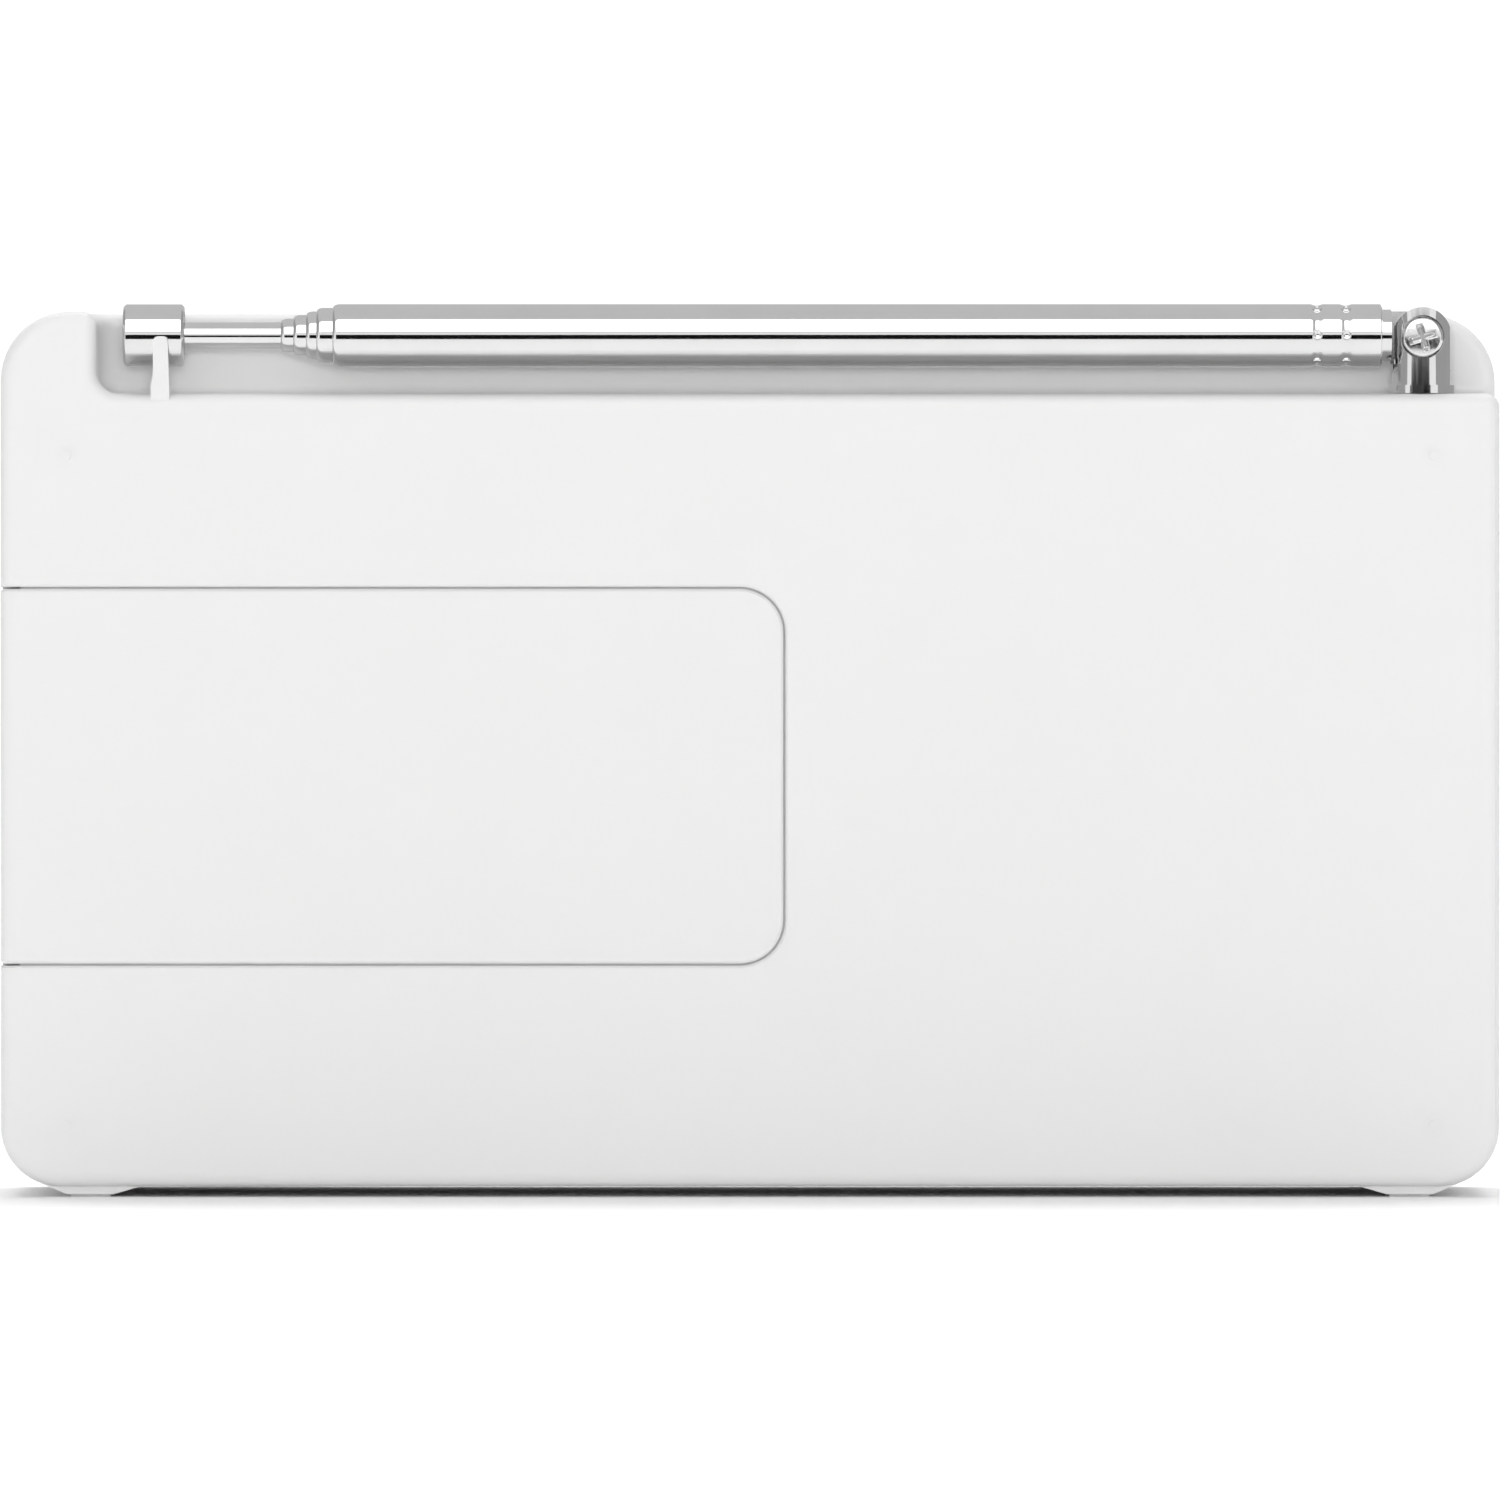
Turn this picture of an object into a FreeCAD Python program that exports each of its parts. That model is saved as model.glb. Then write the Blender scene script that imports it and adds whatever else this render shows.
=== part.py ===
"""Tabletop radio with a folding rod antenna, in millimetres.

Origin: centre of the footprint, on the surface that the radio stands on.
Axes: +X to the right seen from the front, +Z up, the front faces -Y.
"""
import FreeCAD, Part
import Sketcher
import math
import os
import re
from FreeCAD import Placement, Rotation, Vector

SIZES = {
    # case
    "case_half": 82.5, "case_base": 1.15, "case_top": 97.45, "case_front": -16.2, "case_rear": 21.8,
    "split_y": 8.8, "wall": 2.0, "top_round": 7.6, "base_round": 6.6, "front_round": 3.0,
    "rear_round": 1.5, "lip_gap": 0.1, "lip_inset": 3.0, "lip_depth": 2.0, "pip_radius": 0.55,
    "pip_height": 0.4, "pip_side": 75.3, "pip_low": 7.9, "pip_high": 81.6, "seam_bevel": 0.25,
    # feet
    "foot_inner": 70.07, "foot_outer": 75.24, "foot_root_inner": 67.1, "foot_root_outer": 78.9,
    "foot_bottom": 0.28, "foot_root": 2.5, "foot_ends": 1.6, "pad_wide": 4.4, "pad_long": 9.0,
    "pad_top": 0.8, "pad_gap": 0.08, "pad_front_y": -8.0, "pad_rear_y": 14.8,
    # antenna recess in the top of the rear cover
    "recess_floor": 88.44, "recess_wall": 12.3, "recess_end": 72.0, "recess_corner": 2.5,
    "recess_cove": 1.2, "recess_brow": 1.5,
    "clip_x": 64.9, "clip_wide": 1.6, "clip_foot": 2.1, "clip_near": 20.7, "clip_far": 21.6,
    "clip_top": 94.7, "clip_root": 87.4, "clip_round": 0.6,
    # antenna
    "mast_y": 17.1, "mast_z": 94.9, "pivot_x": -74.1, "pivot_z": 94.66, "fork_radius": 3.3,
    "fork_slot": 2.36, "slot_floor": 91.2, "flange_radius": 3.74, "flange_low": 88.49,
    "flange_high": 89.4, "stud_radius": 1.5, "stud_low": 83.0, "stud_gap": 0.06,
    "screw_shank": 1.25, "screw_head": 2.25, "head_high": 1.3, "cross_wide": 0.6, "cross_long": 2.8,
    "cross_deep": 0.7, "seat_radius": 2.4, "seat_y": 19.0,
    "lug_long": 9.0, "lug_half": 1.6, "lug_eye": 3.0, "lug_thick": 0.45, "washer_radius": 3.2,
    "washer_thick": 0.5, "nut_thick": 1.8, "nut_flats": 5.5, "tongue_thick": 2.2,
    "tongue_radius": 2.9, "collar_near": -70.7, "tube_near": -69.6,
    "plug_end": -60.5, "tube_wall": 0.3, "tube_step": 0.4, "tube_radius": 3.5, "tube_end": 45.98,
    "tail_x": -59.5, "tail_long": 3.0, "tail_shift": 1.0, "tail_ramp": 0.4, "slip_gap": 0.05,
    "mouth_long": 2.0, "lip_long": 0.9,
    "lip_high": 0.12, "lip_face": 0.3, "lip_end": 0.25,
    "rod_end": 62.4, "tip_end": 69.1, "tip_radius": 3.47, "tip_round": 0.8,
    # battery door and bay, on the rear
    "door_mid": 46.3, "door_half": 20.6, "door_inner": -3.65, "door_corner": 4.8, "door_gap": 0.25,
    "door_skin": 20.7, "tongue_back": 19.9, "tongue_half": 21.5, "tongue_inner": -4.9,
    "groove_half": 22.0, "groove_inner": -5.2, "groove_top": 20.8, "wrap_y": 16.4, "wrap_gap": 0.2,
    "bay_near": 15.0, "bay_left": -8.0, "bay_low": 20.5, "bay_high": 72.1,
    "tray_left": 11.2, "tray_right": 70.4, "tray_low": 25.9, "tray_high": 66.6, "tray_front": -9.3,
    "tray_side": 1.2, "tray_wall": 1.1, "tray_gap": 0.2, "flange_front": 13.8, "flange_left": 0.2,
    "flange_right": 79.2, "cell_radius": 7.1, "cell_long": 49.2, "cell_nub": 1.3,
    "cell_nub_radius": 2.6,
    "cell_pitch": 8.1, "cell_front_y": -0.95, "cell_rear_y": 11.15, "contact_thick": 0.4,
    "contact_half_wide": 4.5, "contact_half_tall": 3.9, "spring_wire": 0.3, "spring_radius": 4.2,
    # fasteners
    "column_radius": 3.25, "case_hole": 1.25, "case_screw_x1": 4.0, "case_screw_x2": 75.5,
    "case_screw_z1": 31.0, "case_screw_z2": 61.6, "case_screw_floor": 17.4, "case_head": 2.5,
    "case_head_high": 1.8, "case_screw_end": 2.0, "small_hole": 0.85, "small_head": 1.9,
    "small_head_high": 1.2,
    # boards
    "front_board_left": 8.5, "front_board_right": 71.5, "front_board_low": 5.0,
    "front_board_high": 84.0, "front_board_y": -11.2, "board_thick": 1.6,
    "main_left": -76.0, "main_right": -9.0, "main_low": 6.0, "main_high": 80.0, "main_y": 15.0,
    "boss_radius": 2.6, "shield_left": -62.0, "shield_right": -42.0, "shield_low": 62.5,
    "shield_top": 77.0, "shield_high": 3.6, "chip_high": 1.5, "can_radius": 3.15, "can_high": 5.4,
    "lead_radius": 0.5, "ribbon_low": 68.5, "ribbon_high": 73.0, "ribbon_thick": 0.4,
    # controls on the front
    "window_left": 14.0, "window_right": 72.0, "window_low": 46.0, "window_high": 80.0,
    "window_step": 1.2, "window_ledge": 1.5, "window_gap": 0.1, "window_round": 3.0,
    "key_mid_x": 43.0, "key_pitch": 14.0, "key_z": 36.0, "key_wide": 9.6, "key_tall": 4.6,
    "key_round": 2.2, "key_gap": 0.2, "key_proud": 0.8, "key_rim": 0.9, "key_edge": 0.5,
    "rim_front": -14.1,
    "rim_rear": -13.5, "post_radius": 1.0, "post_end": -12.4, "switch_front": -12.8,
    "switch_side": 4.5, "switch_floor": -11.5, "switch_hole": 1.4,
    "round_key_radius": 3.8, "power_x": 22.0, "mode_x": 36.0, "round_key_z": 15.0,
    "knob_x": 58.0, "knob_z": 17.0, "knob_radius": 9.5, "knob_front": -22.2, "knob_rear": -16.7,
    "knob_face": 1.6, "knob_wall": 1.4, "knob_hub": 4.6, "shaft_radius": 3.0, "shaft_gap": 0.05,
    "shaft_front": -20.5, "shaft_flat": 1.5, "shaft_rear": -5.0, "bush_radius": 3.5,
    "bush_front": -14.6, "shell_hole": 4.0, "encoder_rear": -3.1, "encoder_side": 12.0,
    "flute_radius": 0.6, "flute_count": 30, "flute_shift": 0.25, "knob_edge": 1.2, "press_gap": 0.02,
    # display, behind the window
    "lcd_left": 17.0, "lcd_right": 68.5, "lcd_low": 49.0, "lcd_high": 77.0, "lcd_front": -13.8,
    "lcd_rear": -12.2, "lcd_gap": 0.1, "lcd_rim": 2.0, "lcd_rim_ends": 1.2, "lcd_frame_front": -13.9,
    # loudspeaker
    "horn_x": -40.0, "horn_z": 47.0, "horn_radius": 33.0, "horn_seat": -14.2, "horn_ear": 36.6,
    "grille_radius": 34.8, "grille_thick": 1.0, "grille_hole": 1.15, "grille_pitch": 3.5,
    "grille_sunk": 0.1, "grille_reach": 29.5, "horn_opening": 31.5, "horn_rim_rear": -13.0,
    "rim_inner": 29.5,
    "rim_shoulder": 30.6, "neck_front": -3.0, "neck_radius": 20.5, "neck_skin": 0.9,
    "basket_hole": 10.0, "plate_front": -2.0, "plate_rear": 0.5, "plate_radius": 20.0,
    "plate_bore": 8.2, "magnet_rear": 8.0, "magnet_radius": 22.5, "magnet_bore": 11.0,
    "pole_front": -2.5, "pole_radius": 6.5, "yoke_rear": 10.5, "surround_rear": -13.2,
    "surround_inner": 26.5, "surround_outer": 29.4, "cone_front": -12.4, "cone_rear": -6.0,
    "cone_edge": 26.0, "cone_throat": 7.9, "cone_skin": 0.6, "cap_front": -11.2, "cap_rear": -8.6,
    "cap_edge": 10.6, "cap_skin": 0.4, "coil_front": -6.6, "coil_rear": -0.6, "coil_inner": 7.2,
    "coil_outer": 7.8, "horn_screw_head": 3.9, "horn_screw_high": 1.0,
    # sockets in the left wall
    "jack_y": 12.4, "jack_z": 30.0, "jack_bore": 1.8, "jack_nose": 2.5, "nose_sunk": 0.3,
    "jack_hole": 2.7,
    "jack_deep": 14.0, "socket_y": 12.3, "socket_z": 16.4, "socket_bore": 1.75, "socket_pin": 0.65,
    "socket_nose": 2.6, "socket_hole": 2.8, "socket_deep": 9.0, "socket_wall": -79.4,
}

PLANES = {"XY": "XY_Plane", "XZ": "XZ_Plane", "YZ": "YZ_Plane"}
# bought-in parts on the main board: centre x, centre z and side of each chip; centres of the cans
CHIPS = (("-34", "72", "9"), ("-20", "12", "6"), ("-46", "12", "7"))
CAPACITORS = (("-18", "70"), ("-18", "62"), ("-60", "11"), ("-30", "11"))
# corners of the cable runs: the aerial wire in space, the pairs and the ribbon in their own planes
AERIAL_RUN = ((-66.5, 16.4, 85.49), (-66.5, 12, 85.2), (-66.5, 11.6, 78), (-66.5, 15, 78))
SPEAKER_RUN = ((-4.5, 24.4), (-1, 20), (5, 17), (11, 17.5), (15, 17.5))
BATTERY_RUN = ((11.2, 5.5), (6, 5.5), (0.5, 8), (-5, 8.5), (-12, 10.5), (-12, 15))
RIBBON_RUN = ((10.2, -9.6), (10.2, -3.5), (3, 3), (-6, 6), (-11.4, 10), (-11.4, 15))
LEFT_RIGHT = (-1, 1)
nodes = []

doc = FreeCAD.newDocument("tabletop_radio")
sheet = doc.addObject("Spreadsheet::Sheet", "dims")


def fill_sheet():
    """One row for each driving size: its name, then its value under that alias."""
    for row, (alias, value) in enumerate(SIZES.items(), 1):
        sheet.set(f"A{row}", alias)
        sheet.set(f"B{row}", str(value))
        sheet.setAlias(f"B{row}", alias)
    doc.recompute()


def linked(text):
    """The expression with each driving size written as its cell."""
    def cell(word):
        return "dims." + word[0] if word[0] in SIZES else word[0]
    return re.sub(r"[a-z_]\w*", cell, str(text))


def size(text):
    """The value of an expression of driving sizes."""
    return float(sheet.evalExpression(linked(text)))


def bind(item, prop, text):
    item.setExpression(prop, linked(text))


def place(item, x="0", y="0", z="0"):
    """Bind an object's position to the sheet."""
    bind(item, "Placement.Base.x", x)
    bind(item, "Placement.Base.y", y)
    bind(item, "Placement.Base.z", z)
    return item


def node(item, label):
    """Name a finished sub-part; its label is its file's name."""
    item.Label = label
    nodes.append(item)
    return item


# ---------------------------------------------------------------- primitives
def block(x1, x2, y1, y2, z1, z2):
    """A box between six planes."""
    item = doc.addObject("Part::Box", "block")
    bind(item, "Length", f"({x2}) - ({x1})")
    bind(item, "Width", f"({y2}) - ({y1})")
    bind(item, "Height", f"({z2}) - ({z1})")
    return place(item, x1, y1, z1)


def rod(axis, radius, start, end, a, b):
    """A cylinder along X, Y or Z from start to end; a and b are its other two coordinates."""
    item = doc.addObject("Part::Cylinder", "rod")
    bind(item, "Radius", radius)
    bind(item, "Height", f"({end}) - ({start})")
    turn = {"X": Rotation(Vector(0, 1, 0), 90), "Y": Rotation(Vector(1, 0, 0), -90),
            "Z": Rotation()}[axis]
    item.Placement = Placement(Vector(), turn)
    where = {"X": (start, a, b), "Y": (a, start, b), "Z": (a, b, start)}[axis]
    return place(item, *where)


def fuse(*members):
    item = doc.addObject("Part::MultiFuse", "fuse")
    item.Shapes = list(members)
    return item


def cut(base, *tools):
    item = doc.addObject("Part::Cut", "cut")
    item.Base = base
    item.Tool = tools[0] if len(tools) == 1 else fuse(*tools)
    return item


def common(first, second):
    item = doc.addObject("Part::Common", "common")
    item.Base = first
    item.Tool = second
    return item


def group(*members):
    """Separate solids that share one node."""
    item = doc.addObject("Part::Compound", "group")
    item.Links = list(members)
    return item


# ---------------------------------------------------------------- sketches and features
def new_body(name):
    return doc.addObject("PartDesign::Body", name)


def empty_sketch(body, plane, offset):
    """A sketch on one of the body's own planes, moved along the matching axis."""
    sketch = body.newObject("Sketcher::SketchObject", "sketch")
    role = PLANES[plane]
    sketch.AttachmentSupport = [(next(f for f in body.Origin.OriginFeatures if f.Role == role), "")]
    sketch.MapMode = "FlatFace"
    sign = "-" if plane == "XZ" else ""
    bind(sketch, "AttachmentOffset.Base.z", f"{sign}({offset})")
    return sketch


def fix_point(sketch, shape, point, x, y):
    """Hold a point of the sketch at expressions of the driving sizes."""
    for kind, text in (("DistanceX", x), ("DistanceY", y)):
        index = sketch.addConstraint(Sketcher.Constraint(kind, -1, 1, shape, point, size(text)))
        sketch.renameConstraint(index, f"fix_{kind[-1]}_{index}")
        bind(sketch, f"Constraints.fix_{kind[-1]}_{index}", text)


def fix_radius(sketch, shape, text):
    index = sketch.addConstraint(Sketcher.Constraint("Radius", shape, size(text)))
    sketch.renameConstraint(index, f"round_{index}")
    bind(sketch, f"Constraints.round_{index}", text)


def corner_ends(corners, index):
    """Where a rounded corner of level and upright sides starts and ends, as expressions."""
    x, y, radius = corners[index]
    ends = []
    for other in (corners[index - 1], corners[(index + 1) % len(corners)]):
        dx, dy = size(other[0]) - size(x), size(other[1]) - size(y)
        if abs(dx) > abs(dy):
            ends.append((f"({x}) + {math.copysign(1, dx):.0f} * ({radius})", y))
        else:
            ends.append((x, f"({y}) + {math.copysign(1, dy):.0f} * ({radius})"))
    return ends


def outline(body, plane, offset, corners):
    """A closed outline. A corner is (x, y), or (x, y, radius) between level and upright sides."""
    sketch = empty_sketch(body, plane, offset)
    joints = []
    for index, corner in enumerate(corners):
        joints.append(corner_ends(corners, index) if len(corner) == 3 else [corner, corner])
    here = [[Vector(size(x), size(y), 0) for x, y in ends] for ends in joints]
    sides = []
    for index in range(len(corners)):
        after = (index + 1) % len(corners)
        line = sketch.addGeometry(Part.LineSegment(here[index][1], here[after][0]), False)
        fix_point(sketch, line, 1, *joints[index][1])
        sides.append(line)
    for index, corner in enumerate(corners):
        before, after = sides[index - 1], sides[index]
        if len(corner) == 2:
            sketch.addConstraint(Sketcher.Constraint("Coincident", before, 2, after, 1))
            continue
        fix_point(sketch, before, 2, *joints[index][0])
        start, end = here[index]
        apex = Vector(size(corner[0]), size(corner[1]), 0)
        centre = start + end - apex
        left_turn = (apex - start).cross(end - apex).z > 0
        first, last = (start, end) if left_turn else (end, start)
        angles = [math.atan2(p.y - centre.y, p.x - centre.x) for p in (first, last)]
        circle = Part.Circle(centre, Vector(0, 0, 1), size(corner[2]))
        arc = sketch.addGeometry(Part.ArcOfCircle(circle, *angles), False)
        enter, leave = (1, 2) if left_turn else (2, 1)
        sketch.addConstraint(Sketcher.Constraint("Coincident", before, 2, arc, enter))
        sketch.addConstraint(Sketcher.Constraint("Coincident", after, 1, arc, leave))
        fix_radius(sketch, arc, corner[2])
    return sketch


def circles(body, plane, offset, rings):
    """Circles given as (x, y, radius)."""
    sketch = empty_sketch(body, plane, offset)
    for x, y, radius in rings:
        circle = Part.Circle(Vector(size(x), size(y), 0), Vector(0, 0, 1), size(radius))
        shape = sketch.addGeometry(circle, False)
        fix_point(sketch, shape, 3, x, y)
        fix_radius(sketch, shape, radius)
    return sketch


def extrude(body, kind, plane, start, end, draw, shapes):
    """A Pad or Pocket between two planes; it must change the body's volume."""
    before = body.Shape.Volume if body.Tip else 0
    toward_end = (kind == "Pad") != (plane == "XZ")
    sketch = draw(body, plane, start if toward_end else end, shapes)
    feature = body.newObject("PartDesign::" + kind, kind)
    feature.Profile = sketch
    bind(feature, "Length", f"({end}) - ({start})")
    doc.recompute()
    if abs(body.Shape.Volume - before) < 1e-4:
        raise RuntimeError(f"{body.Name} {feature.Name} changed nothing")
    return feature


def pad(body, plane, start, end, corners):
    return extrude(body, "Pad", plane, start, end, outline, corners)


def pocket(body, plane, start, end, corners):
    return extrude(body, "Pocket", plane, start, end, outline, corners)


def pad_circles(body, plane, start, end, rings):
    return extrude(body, "Pad", plane, start, end, circles, rings)


def drill(body, plane, start, end, rings):
    return extrude(body, "Pocket", plane, start, end, circles, rings)


def dress(body, kind, amount, chosen):
    """A Fillet or Chamfer on the edges that the test chooses."""
    base = body.Tip
    edges = [f"Edge{i}" for i, edge in enumerate(base.Shape.Edges, 1) if chosen(edge)]
    if not edges:
        raise RuntimeError(f"{body.Name}: no edge to dress")
    feature = body.newObject("PartDesign::" + kind, kind)
    feature.Base = (base, edges)
    bind(feature, "Radius" if kind == "Fillet" else "Size", amount)
    doc.recompute()
    if not feature.isValid():
        raise RuntimeError(f"{body.Name}: {kind} of {amount} failed on {len(edges)} edges")
    return feature


def near(value, text, tolerance=0.02):
    return abs(value - size(text)) < tolerance


def flat_at(edge, axis, text):
    """True for an edge that lies in the plane where the axis has this value."""
    box = edge.BoundBox
    return near(getattr(box, axis + "Min"), text) and near(getattr(box, axis + "Max"), text)


def turned(name, axis, corners):
    """A body of revolution about its own X, Y or Z; a corner is (along, radius[, round])."""
    body = new_body(name)
    if axis == "X":
        sketch = outline(body, "XY", "0", corners)
    else:
        swapped = [(corner[1], corner[0], *corner[2:]) for corner in corners]
        sketch = outline(body, "XY" if axis == "Y" else "XZ", "0", swapped)
    feature = body.newObject("PartDesign::Revolution", "Revolution")
    feature.Profile = sketch
    feature.ReferenceAxis = (sketch, ["H_Axis" if axis == "X" else "V_Axis"])
    feature.Angle = 360
    doc.recompute()
    return body


def box_corners(x1, x2, z1, z2, *radius):
    """The corners of an upright rectangle, all with the same radius if one is given."""
    return [(x1, z1, *radius), (x2, z1, *radius), (x2, z2, *radius), (x1, z2, *radius)]


# ---------------------------------------------------------------- case
def case_outline(inset):
    """The case seen from the front, drawn in by the inset."""
    side, low, high = f"case_half - {inset}", f"case_base + {inset}", f"case_top - {inset}"
    base, top = f"base_round - {inset}", f"top_round - {inset}"
    return [(f"-({side})", low, base), (side, low, base), (side, high, top), (f"-({side})", high, top)]


def add_feet(body, start, end):
    """The two moulded rails under a shell, with a recess for its rubber pads."""
    for side in LEFT_RIGHT:
        rail = [(f"{side} * foot_root_inner", "foot_root"), (f"{side} * foot_root_inner", "case_base"),
                (f"{side} * foot_inner", "foot_bottom"), (f"{side} * foot_outer", "foot_bottom"),
                (f"{side} * foot_root_outer", "case_base + 0.72"),
                (f"{side} * foot_root_outer", "foot_root")]
        pad(body, "XZ", start, end, rail)


def pad_box(side, mid_y, gap):
    """Where a rubber pad sits: half sizes grown by the gap."""
    mid_x = f"({side} * (foot_inner + foot_outer) / 2)"
    return (f"{mid_x} - pad_wide / 2 - {gap}", f"{mid_x} + pad_wide / 2 + {gap}",
            f"{mid_y} - pad_long / 2 - {gap}", f"{mid_y} + pad_long / 2 + {gap}")


def cut_pad_seats(body, mid_y):
    for side in LEFT_RIGHT:
        pocket(body, "XY", "-1", "pad_top", box_corners(*pad_box(side, mid_y, "pad_gap")))


def foot_pads():
    pads = []
    for mid_y in ("pad_front_y", "pad_rear_y"):
        for side in LEFT_RIGHT:
            pads.append(block(*pad_box(side, mid_y, "0"), "0", "pad_top"))
    node(group(*pads), "foot_pads")


def case_screw_spots():
    columns, heights = ("case_screw_x1", "case_screw_x2"), ("case_screw_z1", "case_screw_z2")
    return [(x, z) for x in columns for z in heights]


def front_board_spots():
    return [(x, z) for x in ("front_board_left + 3", "front_board_right - 3")
            for z in ("front_board_low + 3", "front_board_high - 3")]


def main_board_spots():
    return [("main_left + 3.5", "main_low + 3"), ("main_left + 3.5", "main_high - 3"),
            ("main_right - 3.5", "main_low + 3"), ("main_right - 3.5", "main_high - 3")]


def horn_spots():
    reach = f"horn_ear * {math.sqrt(0.5):.5f}"
    return [(f"horn_x + {i} * {reach}", f"horn_z + {k} * {reach}")
            for i in LEFT_RIGHT for k in LEFT_RIGHT]


def rings_at(spots, radius):
    """The same circle at each spot."""
    return [(x, z, radius) for x, z in spots]


def key_columns():
    return [f"key_mid_x + {i - 1.5} * key_pitch" for i in range(4)]


def front_shell():
    """The front half of the case: grille seat, window, key holes, screw columns and bosses."""
    body = new_body("front_shell")
    pad(body, "XZ", "case_front", "split_y", case_outline("0"))
    dress(body, "Fillet", "front_round", lambda e: flat_at(e, "Y", "case_front"))
    inner = "case_front + wall"
    pocket(body, "XZ", inner, "split_y", case_outline("wall"))
    add_feet(body, "case_front + foot_ends", "split_y")
    cut_pad_seats(body, "pad_front_y")

    step = "case_front + window_step"
    drill(body, "XZ", "case_front", step, [("horn_x", "horn_z", "grille_radius + window_gap")])
    drill(body, "XZ", step, inner, [("horn_x", "horn_z", "horn_opening")])
    seat = box_corners("window_left", "window_right", "window_low", "window_high", "window_round")
    pocket(body, "XZ", "case_front", step, seat)
    sight = box_corners("window_left + window_ledge", "window_right - window_ledge",
                        "window_low + window_ledge", "window_high - window_ledge", "window_round - 1.5")
    pocket(body, "XZ", step, inner, sight)

    for x in key_columns():
        slot = box_corners(f"{x} - key_wide / 2 - key_gap", f"{x} + key_wide / 2 + key_gap",
                           "key_z - key_tall / 2 - key_gap", "key_z + key_tall / 2 + key_gap",
                           "key_round + key_gap")
        pocket(body, "XZ", "case_front", inner, slot)
    drill(body, "XZ", "case_front", inner,
          [("power_x", "round_key_z", "round_key_radius + key_gap"),
           ("mode_x", "round_key_z", "round_key_radius + key_gap"),
           ("knob_x", "knob_z", "shell_hole")])

    root = f"{inner} - 0.5"
    pad_circles(body, "XZ", root, "flange_front", rings_at(case_screw_spots(), "column_radius"))
    drill(body, "XZ", "case_screw_end - 2", "flange_front", rings_at(case_screw_spots(), "case_hole"))
    pad_circles(body, "XZ", root, "front_board_y", rings_at(front_board_spots(), "boss_radius"))
    drill(body, "XZ", f"{inner} + 0.2", "front_board_y", rings_at(front_board_spots(), "small_hole"))
    pad_circles(body, "XZ", root, "horn_seat + 1.2", rings_at(horn_spots(), "boss_radius"))
    drill(body, "XZ", root, "horn_seat + 1.2", rings_at(horn_spots(), "small_hole"))
    node(body, "front_shell")


def carve_recess(body):
    """The long trough for the folded antenna, open to the left end, the rear and the top."""
    trough = box_corners("-case_half - 5", "recess_end", "recess_floor", "case_top + 5")
    pocket(body, "XZ", "recess_wall", "case_rear + 1", trough)

    def end_corner(edge):
        return flat_at(edge, "X", "recess_end") and (
            flat_at(edge, "Y", "recess_wall") or flat_at(edge, "Z", "recess_floor"))

    def cove(edge):
        return flat_at(edge, "Y", "recess_wall") and flat_at(edge, "Z", "recess_floor")

    def brow(edge):
        """The rim over the back wall; the fillet runs on round the whole trough."""
        return flat_at(edge, "Y", "recess_wall") and flat_at(edge, "Z", "case_top")

    dress(body, "Fillet", "recess_corner", end_corner)
    dress(body, "Fillet", "recess_cove", cove)
    dress(body, "Fillet", "recess_brow", brow)


def hollow_cover(body):
    """The locating lip, then the inside: full height in front, under the trough behind."""
    lip = "split_y - lip_depth"
    pad(body, "XZ", lip, "split_y", case_outline("(wall + lip_gap)"))
    pocket(body, "XZ", lip, "recess_wall - wall", case_outline("lip_inset"))
    low = [("-(case_half - wall)", "case_base + wall", "base_round - wall"),
           ("case_half - wall", "case_base + wall", "base_round - wall"),
           ("case_half - wall", "recess_floor - wall"), ("-(case_half - wall)", "recess_floor - wall")]
    pocket(body, "XZ", "recess_wall - wall", "case_rear - wall", low)
    block_room = [("recess_end + wall", "recess_floor - wall - 1"),
                  ("case_half - wall", "recess_floor - wall - 1"),
                  ("case_half - wall", "case_top - wall", "top_round - wall"),
                  ("recess_end + wall", "case_top - wall")]
    pocket(body, "XZ", "recess_wall - wall", "case_rear - wall", block_room)


def battery_bay(body):
    """The thick plate round the battery opening, with the door's grooves and the screw holes."""
    back = "case_rear - wall"
    pad(body, "XZ", "bay_near", f"{back} + 0.1",
        box_corners("bay_left", "case_half - wall + 0.3", "bay_low", "bay_high"))
    pocket(body, "XZ", back, "groove_top",
           box_corners("groove_inner", "case_half + 1", "door_mid - groove_half",
                       "door_mid + groove_half"))
    low, high = "door_mid - door_half - door_gap", "door_mid + door_half + door_gap"
    radius = "door_corner + door_gap"
    mouth = [("door_inner - door_gap", low, radius), ("case_half + 1", low),
             ("case_half + 1", high), ("door_inner - door_gap", high, radius)]
    pocket(body, "XZ", "groove_top", "case_rear + 1", mouth)
    pocket(body, "XZ", "wrap_y - door_gap", "case_rear + 1",
           box_corners("case_half - wall", "case_half + 1", low, high))
    pocket(body, "XZ", "bay_near", back,
           box_corners("tray_left - tray_gap", "tray_right + tray_gap",
                       "tray_low - tray_gap", "tray_high + tray_gap", "1"))
    drill(body, "XZ", "bay_near", "case_screw_floor", rings_at(case_screw_spots(), "case_hole + 0.2"))
    drill(body, "XZ", "case_screw_floor", back, rings_at(case_screw_spots(), "case_head + 0.4"))

    def mouth_rim(edge):
        box = edge.BoundBox
        inside = box.ZMin > size(low) - 0.1 and box.ZMax < size(high) + 0.1
        return flat_at(edge, "Y", "case_rear") and inside and box.XMin > size("door_inner - 1")

    dress(body, "Chamfer", "seam_bevel", mouth_rim)


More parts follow.
